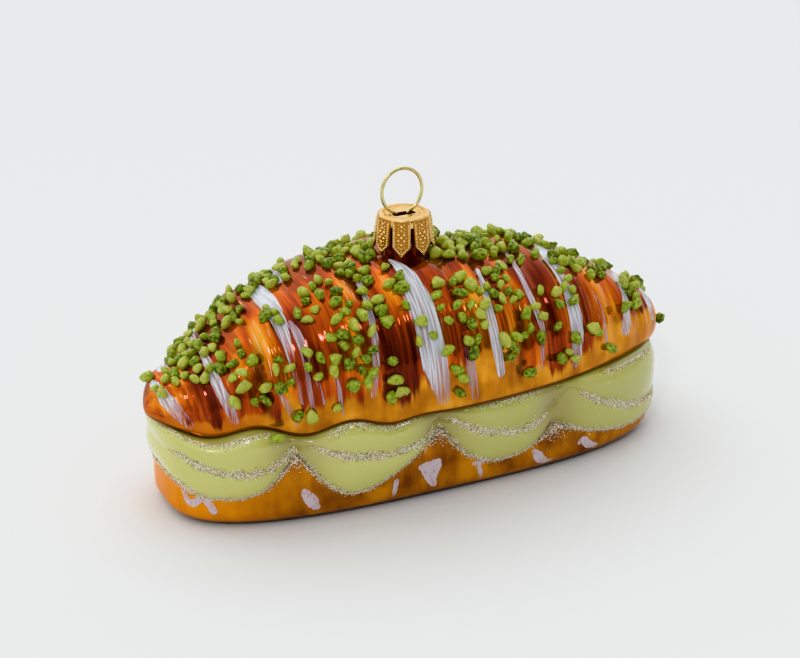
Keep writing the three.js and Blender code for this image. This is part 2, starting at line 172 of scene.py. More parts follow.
def makePiece(name, points, faces, fields=None, sharpFrom=50):
    piece = addMesh(name, np.asarray(points).reshape(-1, 3), faces, fields, unit=mm)
    shell = bmesh.new()
    shell.from_mesh(piece.data)
    bmesh.ops.remove_doubles(shell, verts=shell.verts, dist=weldWithin * mm)
    bmesh.ops.recalc_face_normals(shell, faces=shell.faces)
    shell.to_mesh(piece.data)
    shell.free()
    piece.data.shade_smooth()
    piece.data.set_sharp_from_angle(angle=math.radians(sharpFrom))
    return piece


def newTree(name, inputs):
    tree = bpy.data.node_groups.new(name, "GeometryNodeTree")
    tree.interface.new_socket(name="Geometry", in_out="INPUT", socket_type="NodeSocketGeometry")
    tree.interface.new_socket(name="Geometry", in_out="OUTPUT", socket_type="NodeSocketGeometry")
    for label, kind in {**inputs, "Material": "Material"}.items():
        tree.interface.new_socket(name=label, in_out="INPUT", socket_type="NodeSocket" + kind)
    return tree, addNode(tree, "NodeGroupInput")


def growPiece(piece, tree, instances, inputs, values):  # the tree's result becomes the piece's plain mesh
    plain = addNode(tree, "GeometryNodeRealizeInstances", {"Geometry": instances})
    coated = addNode(tree, "GeometryNodeSetMaterial", {
        "Geometry": plain[0], "Material": inputs["Material"]})
    addNode(tree, "NodeGroupOutput", {0: coated[0]})
    modifier = piece.modifiers.new("grow", "NODES")
    modifier.node_group = tree
    for socket in tree.interface.items_tree:
        if socket.in_out == "INPUT" and socket.name in values:
            modifier[socket.identifier] = values[socket.name]
    seen = piece.evaluated_get(bpy.context.evaluated_depsgraph_get())
    grown = bpy.data.meshes.new_from_object(seen)
    piece.modifiers.remove(modifier)
    old = piece.data
    piece.data = grown
    bpy.data.meshes.remove(old)
    grown.name = piece.name
    return piece


# The croissant's surfaces come from the same values as its solids
topCrust = {
    "plan": {"left": 62.7, "right": 62.7, "side": 24.2, "power": 1.87}, "sectionPower": 2.5,
    "lipHeight": 1.8, "lipInset": 1.0, "underside": 21.2,
    "waveHeight": 1.1, "waveLength": 19, "waveCrest": -43.3, "waveFadeOver": 24,
    "ridge": [(-62.7, 9.0), (-46, 16.2), (-38, 22.6), (-22, 26.2), (-3, 28.4), (14, 25.6),
              (30, 22.6), (46, 15.6), (62.7, 8.0)],
    "tipPower": 12, "creases": [(-44, -41), (19, 14.5)], "creaseDepth": 0.9, "creaseReach": 1.8,
    "flutes": [(6.6, 0.2, 0.7), (9.7, 0.2, 2.1)], "fluteLean": 2.4,
    "seatDepth": 1.6, "seatReach": 9, "rimFade": 0.16, "tipFade": 7,
    "lipRise": (-0.12, -0.01), "girth": 75,  # for the lacquer's pattern, and the painted shade under the lip
    "stations": 380, "sectionSteps": 190, "lipSteps": 5,  # how fine the shown surface is
}
cream = {
    "plan": {"left": 60.0, "right": 58.4, "side": 22.2, "power": 2.86},
    "cusps": [(-61.5, 12.8), (-36.6, 16.8), (-3.8, 16.8), (24.8, 11.3), (61.5, 9.0)],
    "lobes": [(-51.5, 7.4, 2.7, 13.6, -1.0), (-24, 5.5, 1.7, 14.0, -1.8), (11, 6.2, 2.2, 13.3, -2.8),
              (50, 4.8, 1.8, 11.7, -6.7)],
    "foldRise": 4.5, "foldSettles": 0.75, "foldMargin": 1.2, "bottomTuck": 1.2, "foldDepth": 0.45,
    "clearOfLip": 0.3, "topTuck": 1.5, "valleyDepth": 2.0, "valleyReach": 4.4, "rollPower": 2.5,
    "valleyShade": 5.5,
    "stations": 420, "lowerSteps": 14, "upperSteps": 10,
}
bottomCrust = {
    "plan": {"left": 60.0, "right": 58.4, "side": 21.9, "power": 2.86}, "edgeInset": 5.0, "edgeRise": 4.0,
    "stations": 460, "edgeSteps": 10, "wallSteps": 12,
    "ribs": [(2.7, 0.05, 0.4), (4.3, 0.06, 1.9)],  # length, height, shift
    "ribWobble": (0.8, 9, 1, 8), "ribFade": 2.5, "seam": 0.05, "ledge": 0.2,
    "backShift": 260,  # so that the back's pattern is its own
}
capSpot = {"x": -2.2, "top": 58.9}


def planReach(plan, x):
    return np.where(x < 0, plan["left"], plan["right"])


def planPoint(angle, plan, inset=0.0, sideInset=None):
    c, power = np.cos(angle), plan["power"]
    x = (planReach(plan, c) - inset) * np.sign(c) * np.abs(c) ** (2 / power)
    side = plan["side"] - (inset if sideInset is None else sideInset)
    return x, side * np.abs(np.sin(angle)) ** (2 / power)


def planOffset(angle, plan, offset):
    x, y = planPoint(angle, plan)
    reach, side, power = planReach(plan, x), plan["side"], plan["power"]
    slopeX = np.sign(x) * np.abs(x / reach) ** (power - 1) / reach
    slopeY = (y / side) ** (power - 1) / side
    steepness = np.hypot(slopeX, slopeY)
    return x + offset * slopeX / steepness, y + offset * slopeY / steepness


def runAlong(x, y):
    return np.concatenate([[0], np.cumsum(np.hypot(np.diff(x), np.diff(y)))])


def evenAngles(count, plan, through=()):
    fine = np.linspace(0, np.pi, 6001)
    run = runAlong(*planPoint(fine, plan))
    angles = np.interp(np.linspace(0, run[-1], count + 1), run, fine)
    for place in through:
        share = abs(place / float(planReach(plan, place)))
        angle = math.acos(math.copysign(share ** (plan["power"] / 2), place))
        angles[np.argmin(np.abs(angles - angle))] = angle
    return angles


def smoothThrough(pairs, x):
    places, values = np.array(pairs, float).T
    slopes = np.concatenate([[(values[1] - values[0]) / (places[1] - places[0])],
                             (values[2:] - values[:-2]) / (places[2:] - places[:-2]),
                             [(values[-1] - values[-2]) / (places[-1] - places[-2])]])
    i = np.clip(np.searchsorted(places, x) - 1, 0, len(places) - 2)
    span = places[i + 1] - places[i]
    t = (x - places[i]) / span
    blend = t * t * (3 - 2 * t)
    leave, arrive = (t - 2 * t * t + t ** 3) * slopes[i], (t ** 3 - t * t) * slopes[i + 1]
    return (1 - blend) * values[i] + blend * values[i + 1] + span * (leave + arrive)


def undersideZ(x):
    swing = np.cos(2 * np.pi * (x - topCrust["waveCrest"]) / topCrust["waveLength"])
    return topCrust["underside"] + ease(-x, 0, topCrust["waveFadeOver"]) * topCrust["waveHeight"] * swing


def smoothCrust(x, up):
    x, up = np.broadcast_arrays(np.asarray(x, float), np.asarray(up, float))
    plan, n = topCrust["plan"], topCrust["sectionPower"]
    share = np.abs(x / planReach(plan, x))
    halfWidth = plan["side"] * np.maximum(1 - share ** plan["power"], 0) ** (1 / plan["power"])
    tip = np.sqrt(np.maximum(1 - share ** topCrust["tipPower"], 0))
    c, s = np.cos(up * np.pi), np.sin(up * np.pi)
    reach = (np.abs(c) ** n + np.abs(s) ** n) ** (-1 / n)
    height = smoothThrough(topCrust["ridge"], x) * tip * reach * s
    return np.stack([x, -halfWidth * reach * c, undersideZ(x) + topCrust["lipHeight"] + height], -1)


def crustNormal(x, up):
    stepX, stepUp = 0.05, 0.002
    along = smoothCrust(x + stepX, up) - smoothCrust(x - stepX, up)
    around = smoothCrust(x, up + stepUp) - smoothCrust(x, up - stepUp)
    normal = np.cross(along, around)
    return normal / np.maximum(np.linalg.norm(normal, axis=-1, keepdims=True), 1e-9)


def crustRelief(x, up):
    rise = 1 - np.abs(2 * up - 1)
    away = np.hypot(x - capSpot["x"], smoothCrust(x, up)[..., 1])
    relief = -topCrust["seatDepth"] * hill(away, 0, topCrust["seatReach"], 4)
    for ridgeX, rimX in topCrust["creases"]:
        middle = rimX + (ridgeX - rimX) * rise
        relief = relief - topCrust["creaseDepth"] * hill(x, middle, topCrust["creaseReach"])
    for length, height, shift in topCrust["flutes"]:
        relief = relief + height * np.sin(2 * np.pi * (x + topCrust["fluteLean"] * rise) / length + shift)
    tipFade = (planReach(topCrust["plan"], x) - np.abs(x)) / topCrust["tipFade"]
    return relief * np.minimum(rise / topCrust["rimFade"], 1) * np.clip(tipFade, 0, 1)


def crustPoint(x, up, lift=0.0):
    height = crustRelief(x, up) + lift
    return smoothCrust(x, up) + crustNormal(x, up) * np.asarray(height)[..., None]


def lobeValues(x):
    cuspX, cuspZ = np.array(cream["cusps"]).T
    i = np.clip(np.searchsorted(cuspX, x) - 1, 0, len(cream["lobes"]) - 1)
    lowX, lowZ, power, fold, slant = np.array(cream["lobes"]).T[:, i]
    left, right = cuspX[i], cuspX[i + 1]
    endX, endZ = np.where(x < lowX, left, right), np.where(x < lowX, cuspZ[i], cuspZ[i + 1])
    scallop = lowZ + (endZ - lowZ) * np.clip((x - lowX) / (endX - lowX), 0, 1) ** power
    share = (2 * x - left - right) / (right - left)
    return scallop, fold + slant * share + cream["foldRise"] * share * share, share


def scallopZ(x):
    return lobeValues(x)[0]


def foldZ(x):
    scallop, fold, share = lobeValues(x)
    low, high = scallop + cream["foldMargin"], undersideZ(x) - cream["clearOfLip"] - cream["foldMargin"]
    settled = ease(np.abs(share), cream["foldSettles"], 1)
    return np.minimum(np.maximum(fold + ((low + high) / 2 - fold) * settled, low), high)


def valleyInset(x):
    return sum(cream["valleyDepth"] * hill(x, place, cream["valleyReach"])
               for place, height in cream["cusps"][1:-1])


def smoothPath(controls, steps):  # a curve through control rows of any width
    controls = np.array(controls, float)
    places = np.arange(len(controls))
    fine = np.linspace(0, len(controls) - 1, steps * (len(controls) - 1) + 1)
    return np.stack([smoothThrough(np.stack([places, column], -1), fine) for column in controls.T], -1)


def strokeField(points, paths):  # 1 in the middle of a stroke, 0 at its edge; and its cover there
    points = points.reshape(-1, 3)
    paint, cover = np.full(len(points), -1.0), np.zeros(len(points))
    for path in paths:
        widest = path[:, 3].max() * 2
        low, high = path[:, :3].min(0) - widest, path[:, :3].max(0) + widest
        near = np.flatnonzero(((points > low) & (points < high)).all(1))
        for start, end in zip(path[:-1], path[1:]):
            line = end[:3] - start[:3]
            t = np.clip((points[near] - start[:3]) @ line / max(line @ line, 1e-9), 0, 1)
            distance = np.linalg.norm(points[near] - start[:3] - t[:, None] * line, axis=1)
            width, full = [start[k] + t * (end[k] - start[k]) for k in (3, 4)]
            value = 1 - distance / width
            better = value > paint[near]
            paint[near[better]] = value[better]
            cover[near[better]] = full[better]
    return paint, cover


strokeSteps = 5  # how finely a stroke's path is followed, between two of its rows
# Glaze is brushed on from the ridge down. x, how far up from front rim to back rim, half width, and
# cover, which is 1 where the brush was full
glazeStrokes = [
    [(-60.6, 0.50, 0.9, 0.9), (-60.3, 0.33, 1.2, 0.95), (-59.5, 0.19, 1.7, 0.7), (-57.9, 0.09, 1.5, 0.4),
     (-56.2, 0.02, 0.9, 0.15)],
    [(-49.6, 0.55, 0.7, 0.8), (-50.4, 0.375, 0.9, 0.8), (-50.1, 0.225, 1.2, 0.7), (-48.9, 0.119, 1.35, 0.5),
     (-47.9, 0.04, 1.1, 0.2)],
    [(-36.0, 0.55, 2.1, 0.95), (-36.0, 0.44, 2.1, 0.95), (-35.9, 0.34, 1.7, 0.9), (-35.9, 0.256, 1.1, 0.65),
     (-35.6, 0.18, 0.6, 0.25), (-34.6, 0.08, 0.5, 0.1)],
    [(-33.9, 0.31, 0.5, 0.3), (-33.4, 0.27, 0.9, 0.55), (-33.0, 0.21, 0.85, 0.45), (-33.1, 0.13, 0.6, 0.3),
     (-32.6, 0.04, 0.4, 0.12)],
    [(-39.5, 0.125, 0.5, 0.2), (-37.5, 0.064, 0.65, 0.3), (-36.0, 0.015, 0.5, 0.15)],
    [(-31.3, 0.13, 0.4, 0.2), (-30.4, 0.064, 0.35, 0.15)],
    [(-27.7, 0.125, 0.45, 0.25), (-26.9, 0.06, 0.5, 0.3), (-26.5, 0.01, 0.4, 0.15)],
    [(-16.7, 0.45, 0.6, 0.5), (-17.3, 0.33, 0.7, 0.8), (-18.1, 0.225, 0.95, 0.7), (-18.9, 0.15, 0.9, 0.5),
     (-20.0, 0.06, 0.6, 0.12)],
    [(-7.9, 0.43, 0.8, 1.0), (-7.3, 0.372, 1.6, 1.0), (-7.1, 0.289, 2.7, 1.0), (-6.7, 0.211, 3.1, 1.0),
     (-6.5, 0.147, 3.1, 0.95), (-5.4, 0.081, 2.6, 0.7), (-4.3, 0.02, 1.5, 0.2)],
    [(-14.4, 0.10, 0.55, 0.2), (-13.6, 0.02, 0.5, 0.1)],
    [(9.8, 0.345, 0.5, 0.9), (9.0, 0.272, 1.0, 0.95), (8.5, 0.206, 1.35, 0.9), (8.6, 0.142, 1.5, 0.85),
     (9.6, 0.06, 1.1, 0.75)],
    [(1.9, 0.135, 1.1, 0.2), (2.5, 0.07, 1.2, 0.3), (3.1, 0.01, 1.0, 0.1)],
    [(21.3, 0.5, 0.6, 0.4), (19.9, 0.361, 0.6, 0.6), (19.5, 0.272, 0.8, 0.6), (20.2, 0.206, 0.9, 0.7),
     (21.0, 0.15, 0.8, 0.45), (19.8, 0.05, 0.7, 0.1)],
    [(33.5, 0.56, 1.7, 0.9), (31.6, 0.46, 2.1, 0.95), (30.3, 0.372, 1.9, 0.9), (30.2, 0.3, 1.5, 0.9),
     (30.6, 0.225, 1.8, 0.9), (30.6, 0.153, 2.1, 0.85), (30.2, 0.078, 1.9, 0.6), (30.1, 0.03, 1.2, 0.2)],
    [(38.0, 0.24, 0.55, 0.2), (38.8, 0.144, 0.65, 0.25), (39.0, 0.07, 0.5, 0.15)],
    [(50.8, 0.45, 1.1, 0.8), (48.6, 0.3, 1.4, 0.8), (46.8, 0.183, 1.5, 0.8), (45.7, 0.1, 1.3, 0.6)],
    [(57.6, 0.42, 1.3, 0.8), (57.0, 0.27, 1.6, 0.8), (57.2, 0.13, 1.0, 0.4)],
]
paintedLightPatches = [  # painted reflection: brighter (or, below 0, darker) places in the lacquer: x, up, reach each way, strength
    (-41.3, 0.27, 2.2, 0.11, 1.0), (-20.9, 0.35, 1.8, 0.07, 0.9), (-12.6, 0.32, 2.4, 0.09, 0.9),
    (-56.4, 0.36, 2.2, 0.10, 0.8), (-39.0, 0.38, 2.0, 0.08, 0.5), (-28.5, 0.33, 3.0, 0.08, 0.4),
    (4.5, 0.27, 4.0, 0.09, 0.5), (15.0, 0.27, 2.0, 0.10, 0.6), (38.0, 0.26, 4.0, 0.10, 0.6),
    (-23.0, 0.12, 5.0, 0.06, 0.3), (23.4, 0.34, 4.2, 0.12, -0.9), (-11.0, 0.12, 3.0, 0.10, -0.8),
    (1.0, 0.14, 2.5, 0.07, -0.8), (-2.0, 0.42, 9.0, 0.09, -0.8), (-52.5, 0.30, 2.0, 0.14, -0.3),
    (-61.0, 0.22, 2.6, 0.2, 0.8),
]
fineFlutes = {
    "lengths": (3.1, 1.93, 1.31), "heights": (0.1, 0.07, 0.04), "shift": 1.3,
    "wander": 0.55, "wanderGrain": (4, 6), "patchiness": (0.65, 0.5), "patchGrain": (7, 5),
    "calmNearRim": 0.14, "rimFade": 0.12, "calmNearRidge": 0.9, "ridgeFade": 0.3, "leastOnRidge": 0.25,
    "tipFade": 5, "smoothFrom": 0.85, "smoothing": 0.7,  # the strongest patches of painted reflection are smooth
}
creaseShade = {"reach": 0.9, "fadeIn": 1 / 12, "ends": 0.62, "fadeOut": 0.2}
goldenBand = [  # x, and how far up the golden rim reaches there
    (-62.7, 0.02), (-51, 0.06), (-43, 0.03), (-35, 0.07), (-25, 0.055), (-14, 0.055), (-3, 0.065),
    (4.5, 0.11), (10.5, 0.13), (14.5, 0.06), (22.5, 0.03), (29.5, 0.045), (37, 0.10), (47.5, 0.16),
    (55, 0.22), (62.7, 0.25),
]


def turnedRound(rows):  # the back has the front's pattern turned round the cap
    return [(-row[0], 1 - row[1], *row[2:]) for row in rows]


def fineRelief(x, up, along):
    fine, rise = fineFlutes, 1 - np.abs(2 * up - 1)
    fade = np.clip((rise - fine["calmNearRim"]) / fine["rimFade"], 0, 1)
    fade *= np.clip((fine["calmNearRidge"] - rise) / fine["ridgeFade"], fine["leastOnRidge"], 1)
    fade *= np.clip((planReach(topCrust["plan"], x) - np.abs(x)) / fine["tipFade"], 0, 1)
    level, swing = fine["patchiness"]
    fade *= level + swing * softNoise(along / fine["patchGrain"][0], up * fine["patchGrain"][1], 5)
    for middleX, middleUp, reachX, reachUp, strength in paintedLightPatches:
        if abs(strength) > fine["smoothFrom"]:
            fade *= 1 - fine["smoothing"] * hill(x, middleX, reachX) * hill(up, middleUp, reachUp)
    wander = fine["wander"] * softNoise(along / fine["wanderGrain"][0], up * fine["wanderGrain"][1], 6)
    waves = 0
    for k, (length, height) in enumerate(zip(fine["lengths"], fine["heights"])):
        turns = (along + wander * (k + 1) / 2) / length
        waves = waves + height * np.sin(2 * np.pi * turns + fine["shift"] * k)
    return fade * waves


def makeTopCrust():
    size = topCrust
    angles = evenAngles(size["stations"], size["plan"])
    x = planPoint(angles, size["plan"])[0]
    gridX, gridUp = np.meshgrid(x, np.linspace(0, 1, size["sectionSteps"] + 1), indexing="ij")
    rise = 1 - np.abs(2 * gridUp - 1)
    along = gridX + size["fluteLean"] * rise
    outer = crustPoint(gridX, gridUp, fineRelief(gridX, gridUp, along))
    edgeX, edgeY = planPoint(angles, size["plan"], size["lipInset"])
    steps, lips = size["lipSteps"], []
    bends = np.linspace(-np.pi / 2, 0, steps + 1)[:-1]
    for side, rim in ((-1, outer[:, 0]), (1, outer[:, -1])):
        edge = np.stack([edgeX, side * edgeY, undersideZ(edgeX)], -1)
        lip = np.stack([edge + (rim - edge) * [np.cos(b), np.cos(b), 1 + np.sin(b)] for b in bends], 1)
        lips.append(lip if side < 0 else lip[:, ::-1])
    points = np.concatenate([lips[0], outer, lips[1]], 1)
    lipRise = np.tile(np.linspace(*size["lipRise"], steps), (len(x), 1))
    rise = np.concatenate([lipRise, rise, lipRise[:, ::-1]], 1)
    along, x, up = [np.pad(grid, ((0, 0), (steps, steps)), mode="edge") for grid in (along, gridX, gridUp)]
    # Painted reflection: lighter and darker patches, front and back
    glow = sum(strength * hill(x, middleX, reachX) * hill(up, middleUp, reachUp)
               for middleX, middleUp, reachX, reachUp, strength in paintedLightPatches + turnedRound(paintedLightPatches))
    front = up < 0.5
    band = smoothThrough(goldenBand, np.where(front, x, -x)) - np.where(front, up, 1 - up)
    # Painted shade along the creases
    crease = sum(hill(x, rimX + (ridgeX - rimX) * np.clip(rise, 0, 1), creaseShade["reach"])
                 for ridgeX, rimX in size["creases"])
    crease = crease * np.clip(rise / creaseShade["fadeIn"], 0, 1)
    crease = crease * np.clip((creaseShade["ends"] - rise) / creaseShade["fadeOut"], 0, 1)
    fromRidge = [[row for row in stroke if row[1] <= 0.5] for stroke in glazeStrokes]
    paths = []
    for stroke in glazeStrokes + [turnedRound(stroke) for stroke in fromRidge]:
        path = smoothPath(stroke, strokeSteps)
        paths.append(np.concatenate([crustPoint(path[:, 0], path[:, 1]), path[:, 2:]], 1))
    paint, cover = strokeField(points, paths)
    fields = {"along": along, "rise": rise, "girth": up * size["girth"], "glow": glow, "crease": crease,
              "band": band, "paint": paint, "cover": cover}
    return makePiece("amberTopCrust", points, loopFaces(*points.shape[:2]), fields, sharpFrom=60)


def turnProfile(profile, sides):  # radius and height, turned round the cap's axis
    turns = np.linspace(0, 2 * np.pi, sides, endpoint=False)
    return [[(capSpot["x"] + r * np.cos(t), r * np.sin(t), z) for t in turns] for r, z in profile]


def makeNeck():
    neck = {"radius": 4.25, "bore": 2.9, "top": 57.2, "boreBottom": 53.2, "foot": 45, "sides": 64,
            "outerRound": 0.3, "innerRound": 0.2}
    # The neck takes the ridge's lacquer, a little darker with painted shade
    shade = {"along": 0, "rise": 0.9, "girth": 0, "glow": -0.2, "crease": 0, "band": -1, "paint": -1,
             "cover": 0}
    outer, inner = neck["outerRound"], neck["innerRound"]
    profile = [(0, neck["foot"]), (neck["radius"], neck["foot"]), (neck["radius"], neck["top"] - outer),
               (neck["radius"] - outer, neck["top"]), (neck["bore"] + inner, neck["top"]),
               (neck["bore"], neck["top"] - inner), (neck["bore"], neck["boreBottom"]),
               (0, neck["boreBottom"])]
    fields = {name: np.full(len(profile) * neck["sides"], float(value)) for name, value in shade.items()}
    return makePiece("amberNeck", turnProfile(profile, neck["sides"]),
                     loopFaces(len(profile), neck["sides"]), fields, sharpFrom=40)


def rollInset(share, fromDepth, toDepth):  # a soft round roll
    rounding = np.abs(2 * share - 1) ** cream["rollPower"]
    return rounding * (fromDepth + (toDepth - fromDepth) * share)


glitterLines = {
    # Along each lobe's fold, from x, to x
    "folds": [(-60.2, -36.5), (-33.5, -5), (-2.5, 23.5), (30.5, 60)],
    "foldHalfWidth": 0.7, "foldEnds": 0.55, "foldAmount": 0.95, "endFade": 4, "tipFade": 1.5,
    "edgeHalfWidth": 0.5, "edgeMiddle": 0.2, "strayShare": 0.0008,
    "underLip": [(-61, -38, 0.5), (-31, -8, 0.8), (3, 23, 0.8), (36, 56, 0.5)],  # from x, to x, width
    "underLipWidening": 1.2, "underLipAmount": 0.75,
    "crustAmount": 0.95, "crustNarrowing": 0.8, "crustStrayShare": 0.0003,
    "peakReach": (4.6, 3.2), "peakAmount": 0.8,  # the wide patches on the bottom crust between two lobes
    "wobble": (0.35, 1.3, 5, 31), "crustWobble": (0.4, 1.1, 4, 33),  # of their widths
    "flakesPerSquareMm": 42, "flakeSize": 0.19, "smallestShare": 0.55, "largestShare": 1.15,
    "thickness": 0.45, "tilt": (0.75, 0.75, 3.1), "lift": 0.05, "seed": 12,
    "widestFace": 3.0,  # wider ones join the front to the back inside, where nothing is stuck
}


def squareTo(lineZ, x):  # how much longer a line's run is than its run in x
    return np.hypot(1, (lineZ(x + 0.2) - lineZ(x - 0.2)) / 0.4)


def glitterOnCream(points):
    size, x, z = glitterLines, points[..., 0], points[..., 2]
    wobble = uneven(x, z, *size["wobble"])
    atEnds = np.clip((planReach(cream["plan"], x) - np.abs(x)) / size["tipFade"], 0, 1)
    fromEdge = (z - scallopZ(x)) / squareTo(scallopZ, x)
    amount = atEnds * hill(fromEdge, size["edgeMiddle"], size["edgeHalfWidth"] * wobble, 6)
    amount = np.maximum(amount, size["strayShare"])
    fromFold = (z - foldZ(x)) / squareTo(foldZ, x)
    for fromX, toX in size["folds"]:
        ends = np.clip(np.minimum(x - fromX, toX - x) / size["endFade"], 0, 1)
        width = size["foldHalfWidth"] * (size["foldEnds"] + (1 - size["foldEnds"]) * ends) * wobble
        onFold = np.minimum(ends * 3, 1) * hill(fromFold, 0, width, 6)
        amount = np.maximum(amount, size["foldAmount"] * onFold)
    for fromX, toX, width in size["underLip"]:
        ends = np.clip(np.minimum(x - fromX, toX - x) / size["endFade"], 0, 1)
        onLip = ends * hill(undersideZ(x) - z, 0, size["underLipWidening"] * width * wobble, 4)
        amount = np.maximum(amount, size["underLipAmount"] * onLip)
    return amount


def makeCream():
    size, seam = cream, bottomCrust["seam"]
    cusps = [place for place, height in size["cusps"][1:-1]]
    angles = evenAngles(size["stations"], size["plan"], through=cusps)
    rolls = ((size["lowerSteps"], size["bottomTuck"], size["foldDepth"], scallopZ, foldZ),
             (size["upperSteps"], size["foldDepth"], size["topTuck"], foldZ,
              lambda x: undersideZ(x) - seam))
    front = []
    for steps, fromDepth, toDepth, lowZ, highZ in rolls:
        for k in range(steps + 1):
            share = (1 - math.cos(math.pi * k / steps)) / 2
            bulge = size["bottomTuck"] - rollInset(share, fromDepth, toDepth)
            x, y = planOffset(angles, size["plan"], bulge)
            low, high = lowZ(x), highZ(x)
            front.append(np.stack([x, -np.maximum(y - valleyInset(x), 0), low + (high - low) * share], -1))
    front = np.stack(front, 1)
    points = np.concatenate([front, front[:, ::-1] * [1, -1, 1]], 1)
    nearest = np.min([np.abs(points[..., 0] - place) for place in cusps], 0)
    fields = {"glitter": glitterOnCream(points), "valley": hill(nearest, 0, size["valleyShade"])}
    return makePiece("creamFilling", points, loopFaces(*points.shape[:2]), fields, sharpFrom=70)


# Dabs of glaze on the bottom crust: x, y, height, half width, cover
glazeDabs = [
    [(-57.9, -9.2, 8.2, 0.6, 0.5), (-57.3, -10.0, 6.1, 0.9, 0.8), (-56.5, -11.2, 5.8, 0.9, 0.9),
     (-55.3, -12.4, 7.3, 0.9, 0.8), (-54.3, -13.2, 6.7, 0.9, 0.9), (-53.2, -14.1, 4.5, 0.9, 0.7)],
    [(-34.9, -20.1, 7.6, 0.9, 0.7), (-33.7, -20.3, 5.6, 1.45, 1.0), (-32.4, -20.5, 3.7, 0.9, 0.8)],
    [(-14.3, -21.8, 6.4, 0.6, 0.7), (-14.7, -21.8, 4.3, 0.6, 0.8), (-15.2, -21.7, 2.5, 0.35, 0.4)],
    [(-8.4, -21.9, 8.4, 0.8, 0.9), (-6.4, -21.9, 8.6, 1.0, 1.0), (-4.4, -21.9, 8.7, 1.0, 1.0)],
    [(-7.4, -21.9, 7.6, 1.2, 1.0), (-6.4, -21.9, 5.8, 1.3, 1.0), (-5.5, -21.9, 3.6, 0.8, 0.8)],
    [(-4.8, -21.9, 7.8, 1.2, 1.0), (-5.6, -21.9, 5.8, 1.0, 0.9), (-5.8, -21.9, 4.6, 0.7, 0.8)],
    [(4.3, -21.9, 6.5, 0.5, 0.6), (5.5, -21.9, 6.4, 0.7, 0.9), (6.6, -21.9, 6.5, 0.5, 0.6)],
    [(5.3, -21.9, 6.0, 0.6, 0.8), (5.8, -21.9, 4.4, 0.6, 0.7), (6.3, -21.9, 2.7, 0.45, 0.6)],
    [(19.4, -21.6, 6.2, 0.5, 0.7), (20.7, -21.5, 4.4, 1.3, 1.0), (22.4, -21.4, 2.8, 0.9, 0.9),
     (25.4, -21.2, 2.3, 0.4, 0.5)],
    [(31.6, -20.6, 5.0, 0.5, 0.7), (33.0, -20.4, 5.4, 0.9, 0.9), (34.2, -20.2, 4.0, 1.1, 1.0),
     (36.0, -19.9, 3.1, 0.8, 0.9), (39.1, -19.4, 1.9, 0.5, 0.5)],
]


def makeBottomCrust():
    size, plan, rise = bottomCrust, bottomCrust["plan"], bottomCrust["edgeRise"]
    cusps = cream["cusps"][1:-1]
    angles = evenAngles(size["stations"], plan, through=[place for place, height in cusps])
    wallX, wallY = planPoint(angles, plan)
    run = runAlong(wallX, wallY)
    ribs = sum(height * np.sin(2 * np.pi * run / length + shift) for length, height, shift in size["ribs"])
    ribs = ribs * uneven(run, run * 0, *size["ribWobble"])
    columns = []
    for k in range(size["edgeSteps"] + 1):
        bend = math.pi / 2 * k / size["edgeSteps"]
        inset = size["edgeInset"] * (1 - math.sin(bend))
        x, y = planPoint(angles, plan, inset, inset - ribs * math.sin(bend) ** 2)
        columns.append(np.stack([x, -y, np.full_like(x, rise * (1 - math.cos(bend)))], -1))
    top = scallopZ(wallX) - size["seam"]
    for k in range(1, size["wallSteps"] + 1):
        z = rise + (top - rise) * (k / size["wallSteps"])
        x, y = planPoint(angles, plan, 0.0, -ribs * np.clip((top - z) / size["ribFade"], 0, 1))
        columns.append(np.stack([x, -y, z], -1))
    # Between two lobes the cream lies back, and a ledge of crust shows
    x, y = planPoint(angles, plan, 0.0, valleyInset(wallX) + size["ledge"])
    columns.append(np.stack([x, -y, top], -1))
    front = np.stack(columns, 1)
    points = np.concatenate([front, front[:, ::-1] * [1, -1, 1]], 1)
    x, z = points[..., 0], points[..., 2]
    below = (scallopZ(x) - z) / squareTo(scallopZ, x)
    wobble = uneven(x, z, *glitterLines["crustWobble"])
    width = glitterLines["crustNarrowing"] * glitterLines["edgeHalfWidth"] * wobble
    reachX, reachZ = glitterLines["peakReach"]
    peak = np.max([hill(x, place, reachX) * hill(z, height, reachZ) for place, height in cusps], 0)
    onEdge = glitterLines["crustAmount"] * hill(below, 0, width)
    glitter = np.maximum(onEdge, glitterLines["peakAmount"] * peak ** 2) + glitterLines["crustStrayShare"]
    glitter[z < rise] = 0
    paths = []
    for dab in glazeDabs:
        path = smoothPath(dab, strokeSteps)
        paths += [path, path * [-1, -1, 1, 1, 1]]
    paint, cover = strokeField(points, paths)
    runs = np.repeat(run[:, None], points.shape[1], 1)
    runs[:, points.shape[1] // 2:] += size["backShift"]
    fields = {"along": runs, "high": z, "peak": peak, "glitter": glitter, "paint": paint, "cover": cover}
    return makePiece("amberBottomCrust", points, loopFaces(*points.shape[:2]), fields, sharpFrom=45)


